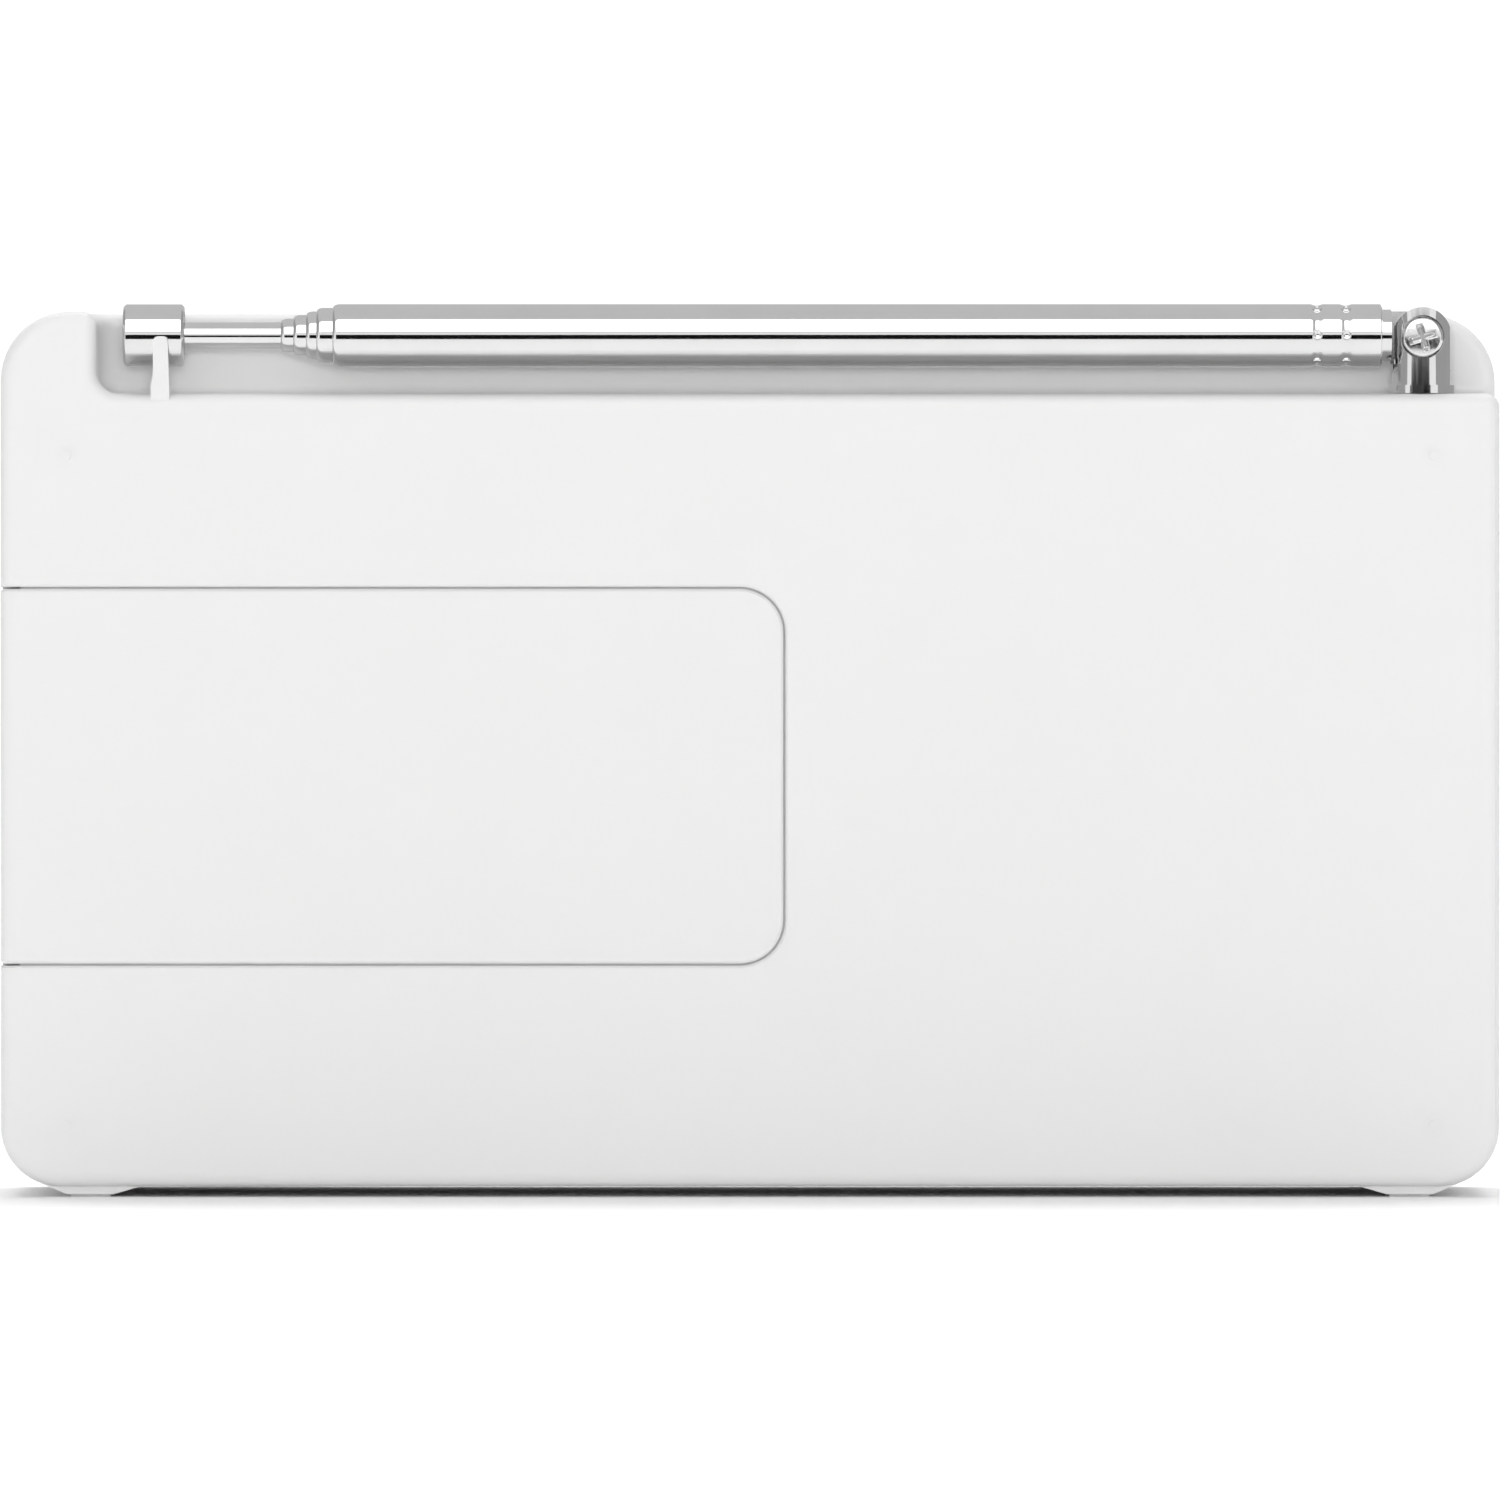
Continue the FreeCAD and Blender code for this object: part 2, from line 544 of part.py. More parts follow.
def rear_cover():
    """The rear half of the case: antenna trough, battery bay, sockets and board bosses."""
    body = new_body("rear_cover")
    pad(body, "XZ", "split_y", "case_rear", case_outline("0"))
    dress(body, "Fillet", "rear_round", lambda e: flat_at(e, "Y", "case_rear"))
    carve_recess(body)
    hollow_cover(body)
    battery_bay(body)
    add_feet(body, "split_y", "case_rear - foot_ends")
    cut_pad_seats(body, "pad_rear_y")
    back = "case_rear - wall"
    pad_circles(body, "XZ", "main_y + board_thick", f"{back} + 0.1",
                rings_at(main_board_spots(), "boss_radius"))
    drill(body, "XZ", "main_y + board_thick", back, rings_at(main_board_spots(), "small_hole"))
    drill(body, "YZ", "-case_half", "-case_half + lip_inset",
          [("jack_y", "jack_z", "jack_hole"), ("socket_y", "socket_z", "socket_hole")])
    drill(body, "XY", "recess_floor - wall", "recess_floor",
          [("pivot_x", "mast_y", "stud_radius + stud_gap")])
    pocket(body, "XZ", back, "case_rear - 1",
           box_corners("pivot_x - 4.5", "pivot_x + 4.5", "stud_low - 1", "recess_floor - wall"))
    pocket(body, "XY", "clip_root", "recess_floor + 1",
           box_corners("clip_x - clip_foot / 2", "clip_x + clip_foot / 2", "clip_near", "clip_far"))
    pips = [(f"{i} * pip_side", z, "pip_radius") for i in LEFT_RIGHT for z in ("pip_low", "pip_high")]
    pad_circles(body, "XZ", "case_rear - 0.2", "case_rear + pip_height", pips)
    node(body, "rear_cover")


def battery_door():
    """The sliding battery door: skin, tongues in the grooves and a wrap round the side."""
    body = new_body("battery_door")
    low, high = "door_mid - door_half", "door_mid + door_half"
    skin = [("door_inner", low, "door_corner"), ("case_half", low), ("case_half", high),
            ("door_inner", high, "door_corner")]
    pad(body, "XZ", "door_skin", "case_rear", skin)
    pad(body, "XZ", "tongue_back", "door_skin",
        box_corners("tongue_inner", "case_half - wall - 0.2", "door_mid - tongue_half",
                    "door_mid + tongue_half"))
    pad(body, "XZ", "wrap_y", "door_skin",
        box_corners("case_half - wall + wrap_gap", "case_half", low, high))
    dress(body, "Fillet", "rear_round",
          lambda e: flat_at(e, "Y", "case_rear") and flat_at(e, "X", "case_half"))
    dress(body, "Chamfer", "seam_bevel",
          lambda e: flat_at(e, "Y", "case_rear") and e.BoundBox.XMax < size("case_half - rear_round + 0.1")
          and not flat_at(e, "X", "case_half - rear_round"))
    node(body, "battery_door")


def antenna_clip():
    """The springy finger behind the antenna's tip."""
    body = new_body("antenna_clip")
    finger = [("clip_x - clip_foot / 2", "clip_root"), ("clip_x + clip_foot / 2", "clip_root"),
              ("clip_x + clip_foot / 2", "recess_floor + 0.8"),
              ("clip_x + clip_wide / 2", "recess_floor + 2"),
              ("clip_x + clip_wide / 2", "clip_top"), ("clip_x - clip_wide / 2", "clip_top")]
    pad(body, "XZ", "clip_near", "clip_far", finger)
    dress(body, "Fillet", "clip_round",
          lambda e: near(e.BoundBox.ZMin, "clip_top") and near(e.BoundBox.XLength, "0"))
    node(body, "antenna_clip")


# ---------------------------------------------------------------- antenna
def antenna_base():
    """The swivelling fork, its flange and the stud through the case."""
    upright = rod("Z", "fork_radius", "flange_high - 0.1", "pivot_z + fork_radius", "pivot_x", "mast_y")
    crown = rod("Y", "fork_radius", "mast_y - fork_radius", "mast_y + fork_radius", "pivot_x", "pivot_z")
    lower = block("pivot_x - fork_radius", "pivot_x + fork_radius", "mast_y - fork_radius",
                  "mast_y + fork_radius", "flange_high - 0.1", "pivot_z")
    fork = common(upright, fuse(crown, lower))
    flange = rod("Z", "flange_radius", "flange_low", "flange_high", "pivot_x", "mast_y")
    stud = rod("Z", "stud_radius", "stud_low", "flange_low + 0.1", "pivot_x", "mast_y")
    slot = block("pivot_x - fork_radius - 1", "pivot_x + fork_radius + 1", "mast_y - fork_slot / 2",
                 "mast_y + fork_slot / 2", "slot_floor", "pivot_z + fork_radius + 1")
    hole = rod("Y", "screw_shank", "mast_y - fork_radius - 1", "mast_y + fork_radius + 1",
               "pivot_x", "pivot_z")
    seat = rod("Y", "seat_radius", "seat_y", "mast_y + fork_radius + 1", "pivot_x", "pivot_z")
    node(cut(fuse(fork, flange, stud), slot, hole, seat), "antenna_base")


def antenna_pivot_screw():
    """The cross-head screw that the antenna tilts on."""
    head = turned("pivot_screw", "Y", [("0", "0"), ("0", "screw_head"), ("head_high / 2", "screw_head"),
                                       ("head_high * 0.85", "screw_head * 0.9"),
                                       ("head_high", "screw_head * 0.7"), ("head_high", "0")])
    pad_circles(head, "XZ", "mast_y - fork_radius + 0.4 - seat_y", "0.1", [("0", "0", "screw_shank")])
    for wide, tall in (("cross_wide", "cross_long"), ("cross_long", "cross_wide")):
        arm = box_corners(f"-{wide} / 2", f"{wide} / 2", f"-{tall} / 2", f"{tall} / 2")
        pocket(head, "XZ", "head_high - cross_deep", "head_high", arm)
    place(head, "pivot_x", "seat_y", "pivot_z")
    node(head, "antenna_pivot_screw")


def ring(outer, inner, z1, z2):
    """A washer about the swivel's axis."""
    return cut(rod("Z", outer, z1, z2, "pivot_x", "mast_y"),
               rod("Z", inner, f"{z1} - 1", f"{z2} + 1", "pivot_x", "mast_y"))


def swivel_fixings():
    """The solder lug against the case, then the washer and nut that turn with the stud."""
    ceiling = "recess_floor - wall"
    lug_low = f"{ceiling} - lug_thick"
    tab = block("pivot_x", "pivot_x + lug_long", "mast_y - lug_half", "mast_y + lug_half", lug_low,
                ceiling)
    eye = rod("Z", "lug_eye", lug_low, ceiling, "pivot_x", "mast_y")
    hole = rod("Z", "stud_radius + 0.1", "stud_low", "recess_floor", "pivot_x", "mast_y")
    node(cut(fuse(tab, eye), hole), "antenna_lug")
    washer_low = f"{ceiling} - 2 * washer_thick"
    washer = ring("washer_radius", "stud_radius", washer_low, f"{washer_low} + washer_thick")
    node(washer, "antenna_washer")
    body = new_body("antenna_nut")
    reach = size("nut_flats") / math.sqrt(3)
    turns = [math.radians(60 * i) for i in range(6)]
    hexagon = [(f"{reach * math.cos(a):.4f}", f"{reach * math.sin(a):.4f}") for a in turns]
    pad(body, "XY", "0", "nut_thick", hexagon)
    drill(body, "XY", "0", "nut_thick", [("0", "0", "stud_radius")])
    place(body, "pivot_x", "mast_y", f"{washer_low} - nut_thick")
    node(body, "antenna_nut")


def antenna_knuckle():
    """The flat tongue in the fork, the collar, and the plug inside the first tube."""
    half = "tongue_thick / 2"
    eye = rod("Y", "tongue_radius", f"mast_y - {half}", f"mast_y + {half}", "pivot_x", "pivot_z")
    blade = block("pivot_x", "collar_near + 0.1", f"mast_y - {half}", f"mast_y + {half}",
                  "pivot_z - tongue_radius", "pivot_z + tongue_radius")
    collar = rod("X", "tongue_radius", "collar_near", "tube_near", "mast_y", "mast_z")
    plug = rod("X", "tube_radius - tube_wall", "tube_near - 0.1", "plug_end", "mast_y", "mast_z")
    hole = rod("Y", "screw_shank + slip_gap", "mast_y - 5", "mast_y + 5", "pivot_x", "pivot_z")
    node(cut(fuse(eye, blade, collar, plug), hole), "antenna_knuckle")


def antenna_tube(step):
    """Tube 1 to 5: a drawn-in mouth, and past the first a swaged tail in the tube outside it."""
    radius = f"(tube_radius - {step - 1} * tube_step)"
    bore = f"({radius} - tube_wall)"
    mouth = f"({radius} - tube_step + slip_gap)"
    end = tube_end_x(step)
    if step == 1:
        tail = [("tube_near", radius)]
        inner = [("tube_near", bore)]
    else:
        start = f"(tail_x + {step - 2} * tail_shift)"
        wide = f"({radius} + tube_step - tube_wall - slip_gap)"
        tail = [(start, wide), (f"{start} + tail_long", wide),
                (f"{start} + tail_long + tail_ramp", radius)]
        inner = [(start, bore)]
    lip = [(f"{end} - lip_long", radius), (f"{end} - lip_end", f"{radius} - lip_high"),
           (end, f"{radius} - lip_face"), (end, mouth)]
    throat = [(f"{end} - mouth_long", mouth), (f"{end} - mouth_long", bore)]
    body = turned(f"tube_{step}", "X", tail + lip + throat + inner)
    node(place(body, "0", "mast_y", "mast_z"), f"antenna_tube_{step}")


def tube_end_x(step):
    """Where a tube's mouth is when the antenna is pushed in."""
    shows = (0, 1.8, 2.95, 4.35, 5.75)[step - 1]
    return f"(tube_end + {shows})"


def antenna_rod():
    """The innermost rod, with the swaged tail that stops it in the fifth tube."""
    radius = "(tube_radius - 5 * tube_step)"
    start = "(tail_x + 4 * tail_shift)"
    tail = f"({radius} + tube_step - tube_wall - slip_gap)"
    body = turned("rod", "X", [(start, "0"), (start, tail), (f"{start} + tail_long", tail),
                               (f"{start} + tail_long + tail_ramp", radius), ("rod_end", radius),
                               ("rod_end", "0")])
    node(place(body, "0", "mast_y", "mast_z"), "antenna_rod")


def antenna_tip():
    body = turned("tip", "X", [("rod_end", "0"), ("rod_end", "tip_radius", "tip_round"),
                               ("tip_end", "tip_radius", "tip_round"), ("tip_end", "0")])
    node(place(body, "0", "mast_y", "mast_z"), "antenna_tip")


# ---------------------------------------------------------------- controls
def keycap(label, x, z, grow):
    """A key through the front: cap, retaining rim behind the wall, and the post on its switch."""
    body = new_body(label)
    pad(body, "XZ", "case_front - key_proud", "rim_front", grow("0"))
    dress(body, "Fillet", "key_edge", lambda e: flat_at(e, "Y", "case_front - key_proud"))
    pad(body, "XZ", "rim_front", "rim_rear", grow("key_rim"))
    pad_circles(body, "XZ", "rim_rear", "post_end", [("0", "0", "post_radius")])
    place(body, x, "0", z)
    node(body, label)


def pill(extra):
    return box_corners(f"-(key_wide / 2 + {extra})", f"key_wide / 2 + {extra}",
                       f"-(key_tall / 2 + {extra})", f"key_tall / 2 + {extra}", f"key_round + {extra}")


def round_cap(label, x):
    face, rim = "case_front - key_proud", "round_key_radius + key_rim"
    body = turned(label, "Y", [(face, "0"), (face, "round_key_radius", "key_edge"),
                               ("rim_front", "round_key_radius"), ("rim_front", rim),
                               ("rim_rear", rim), ("rim_rear", "post_radius"),
                               ("post_end", "post_radius"), ("post_end", "0")])
    node(place(body, x, "0", "round_key_z"), label)


def key_spots():
    return [(x, "key_z") for x in key_columns()] + [("power_x", "round_key_z"), ("mode_x", "round_key_z")]


def tact_switches():
    """Six switches on the front board; each key's post enters the bore over its dome."""
    half = "switch_side / 2"
    switches = []
    for x, z in key_spots():
        case = block(f"{x} - {half}", f"{x} + {half}", "switch_front", "front_board_y",
                     f"{z} - {half}", f"{z} + {half}")
        bore = rod("Y", "switch_hole", "switch_front - 1", "switch_floor", x, z)
        switches.append(cut(case, bore))
    node(group(*switches), "tact_switches")


def tuning_knob():
    """The fluted knob, hollow behind, with a D-shaped bore for the shaft."""
    body = turned("tuning_knob", "Y", [
        ("knob_front", "0"), ("knob_front", "knob_radius", "knob_edge"), ("knob_rear", "knob_radius"),
        ("knob_rear", "knob_radius - knob_wall"), ("knob_front + knob_face", "knob_radius - knob_wall"),
        ("knob_front + knob_face", "knob_hub"), ("knob_rear", "knob_hub"), ("knob_rear", "0")])
    bore = "(shaft_radius + press_gap)"
    drill(body, "XZ", "shaft_front", "knob_rear", [("0", "0", bore)])
    pad(body, "XZ", "shaft_front", "knob_rear",
        box_corners(f"-{bore}", bore, "shaft_flat + press_gap", f"{bore} + 0.6"))
    flute = drill(body, "XZ", "knob_front + knob_edge", "knob_rear",
                  [("knob_radius + flute_shift", "0", "flute_radius")])
    pattern = body.newObject("PartDesign::PolarPattern", "flutes")
    pattern.Originals = [flute]
    pattern.Axis = (next(f for f in body.Origin.OriginFeatures if f.Role == "Y_Axis"), [""])
    pattern.Angle = 360
    bind(pattern, "Occurrences", "flute_count")
    body.Tip = pattern
    place(body, "knob_x", "0", "knob_z")
    node(body, "tuning_knob")


def encoder_shaft():
    whole = rod("Y", "shaft_radius", "shaft_front", "shaft_rear", "knob_x", "knob_z")
    flat = block("knob_x - 4", "knob_x + 4", "shaft_front - 1", "knob_rear + 1", "knob_z + shaft_flat",
                 "knob_z + 4")
    node(cut(whole, flat), "encoder_shaft")


def knob_encoder():
    """The rotary encoder behind the board; its bush reaches into the front wall."""
    half = "encoder_side / 2"
    rear = "(front_board_y + board_thick)"
    case = block(f"knob_x - {half}", f"knob_x + {half}", rear, "encoder_rear", f"knob_z - {half}",
                 f"knob_z + {half}")
    bush = rod("Y", "bush_radius", "bush_front", f"{rear} + 0.1", "knob_x", "knob_z")
    bore = rod("Y", "shaft_radius + shaft_gap", "bush_front - 1", "shaft_rear + 0.3", "knob_x", "knob_z")
    node(cut(fuse(case, bush), bore), "knob_encoder")


def display():
    """The window in the front wall and the liquid-crystal panel in its frame behind it."""
    body = new_body("display_window")
    pad(body, "XZ", "case_front + 0.1", "case_front + window_step",
        box_corners("window_left + window_gap", "window_right - window_gap", "window_low + window_gap",
                    "window_high - window_gap", "window_round - window_gap"))
    node(body, "display_window")
    frame = block("lcd_left - lcd_rim", "lcd_right + lcd_rim", "lcd_frame_front", "front_board_y",
                  "lcd_low - lcd_rim_ends", "lcd_high + lcd_rim_ends")
    seat = block("lcd_left", "lcd_right", "lcd_frame_front - 1", "lcd_rear", "lcd_low", "lcd_high")
    node(cut(frame, seat), "lcd_frame")
    node(block("lcd_left + lcd_gap", "lcd_right - lcd_gap", "lcd_front", "lcd_rear",
               "lcd_low + lcd_gap", "lcd_high - lcd_gap"), "lcd_panel")


def display_board():
    body = new_body("display_board")
    end = "front_board_y + board_thick"
    pad(body, "XZ", "front_board_y", end, box_corners("front_board_left", "front_board_right",
                                                     "front_board_low", "front_board_high", "1"))
    drill(body, "XZ", "front_board_y", end, rings_at(front_board_spots(), "small_hole + 0.2"))
    drill(body, "XZ", "front_board_y", end, [("knob_x", "knob_z", "bush_radius + 0.1")])
    node(body, "display_board")


# ---------------------------------------------------------------- loudspeaker
def horn_part(label, corners):
    """A turned part of the loudspeaker."""
    body = turned(label, "Y", corners)
    node(place(body, "horn_x", "0", "horn_z"), label)


def speaker_grille():
    """The perforated disc over the loudspeaker."""
    disc = rod("Y", "grille_radius", "case_front + grille_sunk", "case_front + grille_sunk + grille_thick",
               "horn_x", "horn_z")
    pitch, reach = size("grille_pitch"), size("grille_reach")
    centre = Vector(size("horn_x"), size("case_front") - 1, size("horn_z"))
    rows = int(reach / (pitch * math.sqrt(0.75))) + 1
    pins = []
    for row in range(-rows, rows + 1):
        for column in range(-rows, rows + 1):
            spot = Vector((column + row % 2 / 2) * pitch, 0, row * pitch * math.sqrt(0.75))
            if spot.Length < reach:
                pins.append(Part.makeCylinder(size("grille_hole"), 4, centre + spot, Vector(0, 1, 0)))
    holes = doc.addObject("Part::Feature", "grille_holes")
    holes.Shape = Part.makeCompound(pins)
    node(cut(disc, holes), "speaker_grille")


def speaker():
    """Frame, magnet system, surround, cone, dust cap and voice coil."""
    horn_part("speaker_frame", [
        ("horn_seat", "rim_inner"), ("horn_seat", "horn_radius"), ("horn_rim_rear", "horn_radius"),
        ("horn_rim_rear", "rim_shoulder"), ("neck_front", "neck_radius"), ("plate_front", "neck_radius"),
        ("plate_front", "basket_hole"), ("neck_front", "basket_hole"),
        ("neck_front - 0.2", "neck_radius - neck_skin"), ("horn_rim_rear + 0.4", "rim_inner")])
    horn_part("speaker_plate", [("plate_front", "plate_bore"), ("plate_front", "plate_radius"),
                                ("plate_rear", "plate_radius"), ("plate_rear", "plate_bore")])
    horn_part("speaker_magnet", [("plate_rear", "magnet_bore"), ("plate_rear", "magnet_radius"),
                                 ("magnet_rear", "magnet_radius"), ("magnet_rear", "magnet_bore")])
    horn_part("speaker_yoke", [("pole_front", "0"), ("pole_front", "pole_radius"),
                               ("magnet_rear", "pole_radius"), ("magnet_rear", "plate_radius"),
                               ("yoke_rear", "plate_radius"), ("yoke_rear", "0")])
    horn_part("speaker_surround", [("horn_seat", "surround_inner"), ("horn_seat", "surround_outer"),
                                   ("surround_rear", "surround_outer"),
                                   ("surround_rear", "surround_inner")])
    horn_part("speaker_cone", [
        ("cone_front - cone_skin", "cone_edge"), ("cone_front", "cone_edge + 0.2"),
        ("cone_rear", "cone_throat + 0.5"), ("cone_rear - cone_skin", "cone_throat")])
    dome = [("cap_front", "0"), ("cap_front + 0.2", "4"), ("cap_front + 1.3", "7.6"),
            ("cap_rear", "cap_edge")]
    inside = [("cap_rear + cap_skin", "cap_edge"), ("cap_front + 1.7", "7.4"), ("cap_front + 0.6", "3.9"),
              ("cap_front + cap_skin", "0")]
    horn_part("dust_cap", dome + inside)
    horn_part("voice_coil", [("coil_front", "coil_inner"), ("coil_front", "coil_outer"),
                             ("coil_rear", "coil_outer"), ("coil_rear", "coil_inner")])


# ---------------------------------------------------------------- rear electronics
def main_board():
    body = new_body("main_board")
    end = "main_y + board_thick"
    pad(body, "XZ", "main_y", end, box_corners("main_left", "main_right", "main_low", "main_high", "1"))
    drill(body, "XZ", "main_y", end, rings_at(main_board_spots(), "small_hole + 0.2"))
    node(body, "main_board")


def board_parts():
    """What is soldered to the front of the main board: tuner can, chips and capacitors."""
    node(block("shield_left", "shield_right", "main_y - shield_high", "main_y", "shield_low",
               "shield_top"), "tuner_shield")
    chips = [block(f"{x} - {w} / 2", f"{x} + {w} / 2", "main_y - chip_high", "main_y",
                   f"{z} - {w} / 2", f"{z} + {w} / 2") for x, z, w in CHIPS]
    node(group(*chips), "board_chips")
    cans = [rod("Y", "can_radius", "main_y - can_high", "main_y", x, z) for x, z in CAPACITORS]
    node(group(*cans), "board_capacitors")


def headphone_jack():
    """A 3.5 mm socket whose nose fills the hole in the left wall."""
    case = block("socket_wall", "socket_wall + 14", "jack_y - 2.6", "main_y", "jack_z - 3", "jack_z + 3")
    nose = rod("X", "jack_nose", "-case_half + nose_sunk", "socket_wall + 0.1", "jack_y", "jack_z")
    bore = rod("X", "jack_bore", "-case_half - 1", "-case_half + nose_sunk + jack_deep", "jack_y",
               "jack_z")
    node(cut(fuse(case, nose), bore), "headphone_jack")


def dc_socket():
    """A barrel socket with its centre pin."""
    case = block("socket_wall", "socket_wall + 10", "socket_y - 2.7", "main_y", "socket_z - 3.4",
                 "socket_z + 3.4")
    nose = rod("X", "socket_nose", "-case_half + nose_sunk", "socket_wall + 0.1", "socket_y", "socket_z")
    bore = rod("X", "socket_bore", "-case_half - 1", "-case_half + nose_sunk + socket_deep", "socket_y",
               "socket_z")
    pin = rod("X", "socket_pin", "-case_half + nose_sunk + 1", "-case_half + 1 + socket_deep",
              "socket_y", "socket_z")
    node(fuse(cut(fuse(case, nose), bore), pin), "dc_socket")


# ---------------------------------------------------------------- power
def battery_tray():
    """The open box for the cells; its flange is clamped between the shells."""
    body = new_body("battery_tray")
    pad(body, "XZ", "tray_front", "bay_near",
        box_corners("tray_left", "tray_right", "tray_low", "tray_high", "1"))
    pad(body, "XZ", "flange_front", "bay_near",
        box_corners("flange_left", "flange_right", "bay_low + 0.5", "bay_high - 0.5", "1"))
    pocket(body, "XZ", "tray_front + tray_side", "bay_near",
           box_corners("tray_left + tray_side", "tray_right - tray_side", "tray_low + tray_wall",
                       "tray_high - tray_wall"))
    drill(body, "XZ", "flange_front", "bay_near", rings_at(case_screw_spots(), "case_hole + 0.2"))
    node(body, "battery_tray")


def cell_rows():
    """Each cell's height, depth and the side that its positive end faces."""
    return [(f"(door_mid - 0.05 + {i - 1.5} * cell_pitch)", ("cell_front_y", "cell_rear_y")[i % 2],
             (1, -1)[i % 2]) for i in range(4)]


def battery_ends(facing):
    """Inner faces of the contacts at a cell's positive and negative ends."""
    right, left = "(tray_right - tray_side - contact_thick)", "(tray_left + tray_side + contact_thick)"
    return (right, left) if facing == 1 else (left, right)


def battery_power():
    """Four cells, the contact plates at both ends and a coil spring at each negative end."""
    cells, plates, springs = [], [], []
    for z, y, facing in cell_rows():
        plus, minus = battery_ends(facing)
        shoulder = f"({plus} - {facing} * cell_nub)"
        tail = f"({shoulder} - {facing} * cell_long)"
        low, high = (tail, shoulder) if facing == 1 else (shoulder, tail)
        can = rod("X", "cell_radius", low, high, y, z)
        low, high = (f"{shoulder} - 0.1", plus) if facing == 1 else (plus, f"{shoulder} + 0.1")
        cells.append(fuse(can, rod("X", "cell_nub_radius", low, high, y, z)))
        for face, out in ((plus, facing), (minus, -facing)):
            low = face if out == 1 else f"{face} - contact_thick"
            plates.append(block(low, f"{low} + contact_thick", f"{y} - contact_half_wide",
                                f"{y} + contact_half_wide", f"{z} - contact_half_tall",
                                f"{z} + contact_half_tall"))
        springs.append(coil(minus, tail, y, z))
    node(group(*cells), "battery_cells")
    node(group(*plates), "battery_contacts")
    node(group(*springs), "battery_springs")


def coil(start, end, y, z):
    """A compression spring between a contact plate and a cell: eight chords to a turn, rounded."""
    wire, radius = size("spring_wire"), size("spring_radius")
    turns, chords = 3, 8
    first, last = size(start), size(end)
    way = math.copysign(1, last - first)
    first, last = first + way * (wire + 0.05), last - way * (wire + 0.05)
    steps = turns * chords
    points = []
    for i in range(steps + 1):
        angle = 2 * math.pi * i / chords
        points.append(Vector(first + (last - first) * i / steps, size(y) + radius * math.cos(angle),
                             size(z) + radius * math.sin(angle)))
    chord = points[0].distanceToPoint(points[1])
    bend = 0.45 * chord / math.tan(math.pi / chords)
    return tube_along(points, [bend] * (steps - 1), wire)


# ---------------------------------------------------------------- screws
def pan_screw(x, z, head, high, seat, end, shank):
    """A pan-head screw along Y, its head on the +Y side of the seat when the end lies at lower y."""
    if size(end) < size(seat):
        cap = rod("Y", head, seat, f"{seat} + {high}", x, z)
        return fuse(cap, rod("Y", shank, end, f"{seat} + 0.1", x, z))
    cap = rod("Y", head, f"{seat} - {high}", seat, x, z)
    return fuse(cap, rod("Y", shank, f"{seat} - 0.1", end, x, z))


def screws():
    case = [pan_screw(x, z, "case_head", "case_head_high", "case_screw_floor", "case_screw_end",
                      "case_hole") for x, z in case_screw_spots()]
    node(group(*case), "case_screws")
    small = []
    for x, z in front_board_spots():
        small.append(pan_screw(x, z, "small_head", "small_head_high", "front_board_y + board_thick",
                               "front_board_y - 2.5", "small_hole"))
    for x, z in main_board_spots():
        small.append(pan_screw(x, z, "small_head", "small_head_high", "main_y",
                               "main_y + board_thick + 2.8", "small_hole"))
    node(group(*small), "board_screws")
    horn = [pan_screw(x, z, "horn_screw_head", "horn_screw_high", "horn_rim_rear",
                      "case_front + wall - 0.3", "small_hole") for x, z in horn_spots()]
    node(group(*horn), "speaker_screws")


# ---------------------------------------------------------------- leads
def route(points, radii):
    """A wire of straight runs joined by tangent arcs."""
    edges, start = [], points[0]
    for i, radius in enumerate(radii, 1):
        corner = points[i]
        back = (points[i - 1] - corner).normalize()
        ahead = (points[i + 1] - corner).normalize()
        half = back.getAngle(ahead) / 2
        reach = radius / math.tan(half)
        middle = corner + (back + ahead).normalize() * (radius / math.sin(half) - radius)
        enter, leave = corner + back * reach, corner + ahead * reach
        edges.append(Part.LineSegment(start, enter).toShape())
        edges.append(Part.Arc(enter, middle, leave).toShape())
        start = leave
    edges.append(Part.LineSegment(start, points[-1]).toShape())
    return Part.Wire(edges)


def tube_along(points, radii, radius):
    """A round lead along a route."""
    path = route(points, radii)
    section = Part.Wire(Part.Circle(points[0], points[1] - points[0], radius).toShape())
    item = doc.addObject("Part::Feature", "lead")
    item.Shape = path.makePipeShell([section], True, False)
    print("tube", round(path.Length, 1), "mm, volume", round(item.Shape.Volume, 2), "of",
          round(path.Length * math.pi * radius ** 2, 2))
    return item


def leads():
    """The wires inside the case, each along the route that it is clipped to."""
    radius = size("lead_radius")
    node(tube_along(run(AERIAL_RUN), [1.6, 1.5], radius), "antenna_lead")
    pair = [tube_along([Vector(x, y, z) for y, z in SPEAKER_RUN], [3.5, 3.5, 3.5], radius)
            for x in (-38.4, -41.6)]
    node(group(*pair), "speaker_leads")
    pair = [tube_along([Vector(x, y, z) for x, y in BATTERY_RUN], [5, 5, 5, 1.8], radius)
            for z in (44.5, 47.5)]
    node(group(*pair), "battery_leads")
    node(ribbon(), "ribbon_cable")


def run(corners):
    return [Vector(*corner) for corner in corners]


def ribbon():
    """The flat cable between the two boards, standing on edge."""
    low, high, thick = size("ribbon_low"), size("ribbon_high"), size("ribbon_thick")
    points = [Vector(x, y, (low + high) / 2) for x, y in RIBBON_RUN]
    left, right, start = points[0].x - thick / 2, points[0].x + thick / 2, points[0].y
    strip = Part.makePolygon([Vector(x, start, z) for x, z in
                              ((left, low), (right, low), (right, high), (left, high), (left, low))])
    item = doc.addObject("Part::Feature", "ribbon")
    item.Shape = route(points, [4, 5, 4, 3]).makePipeShell([strip], True, False)
    return item


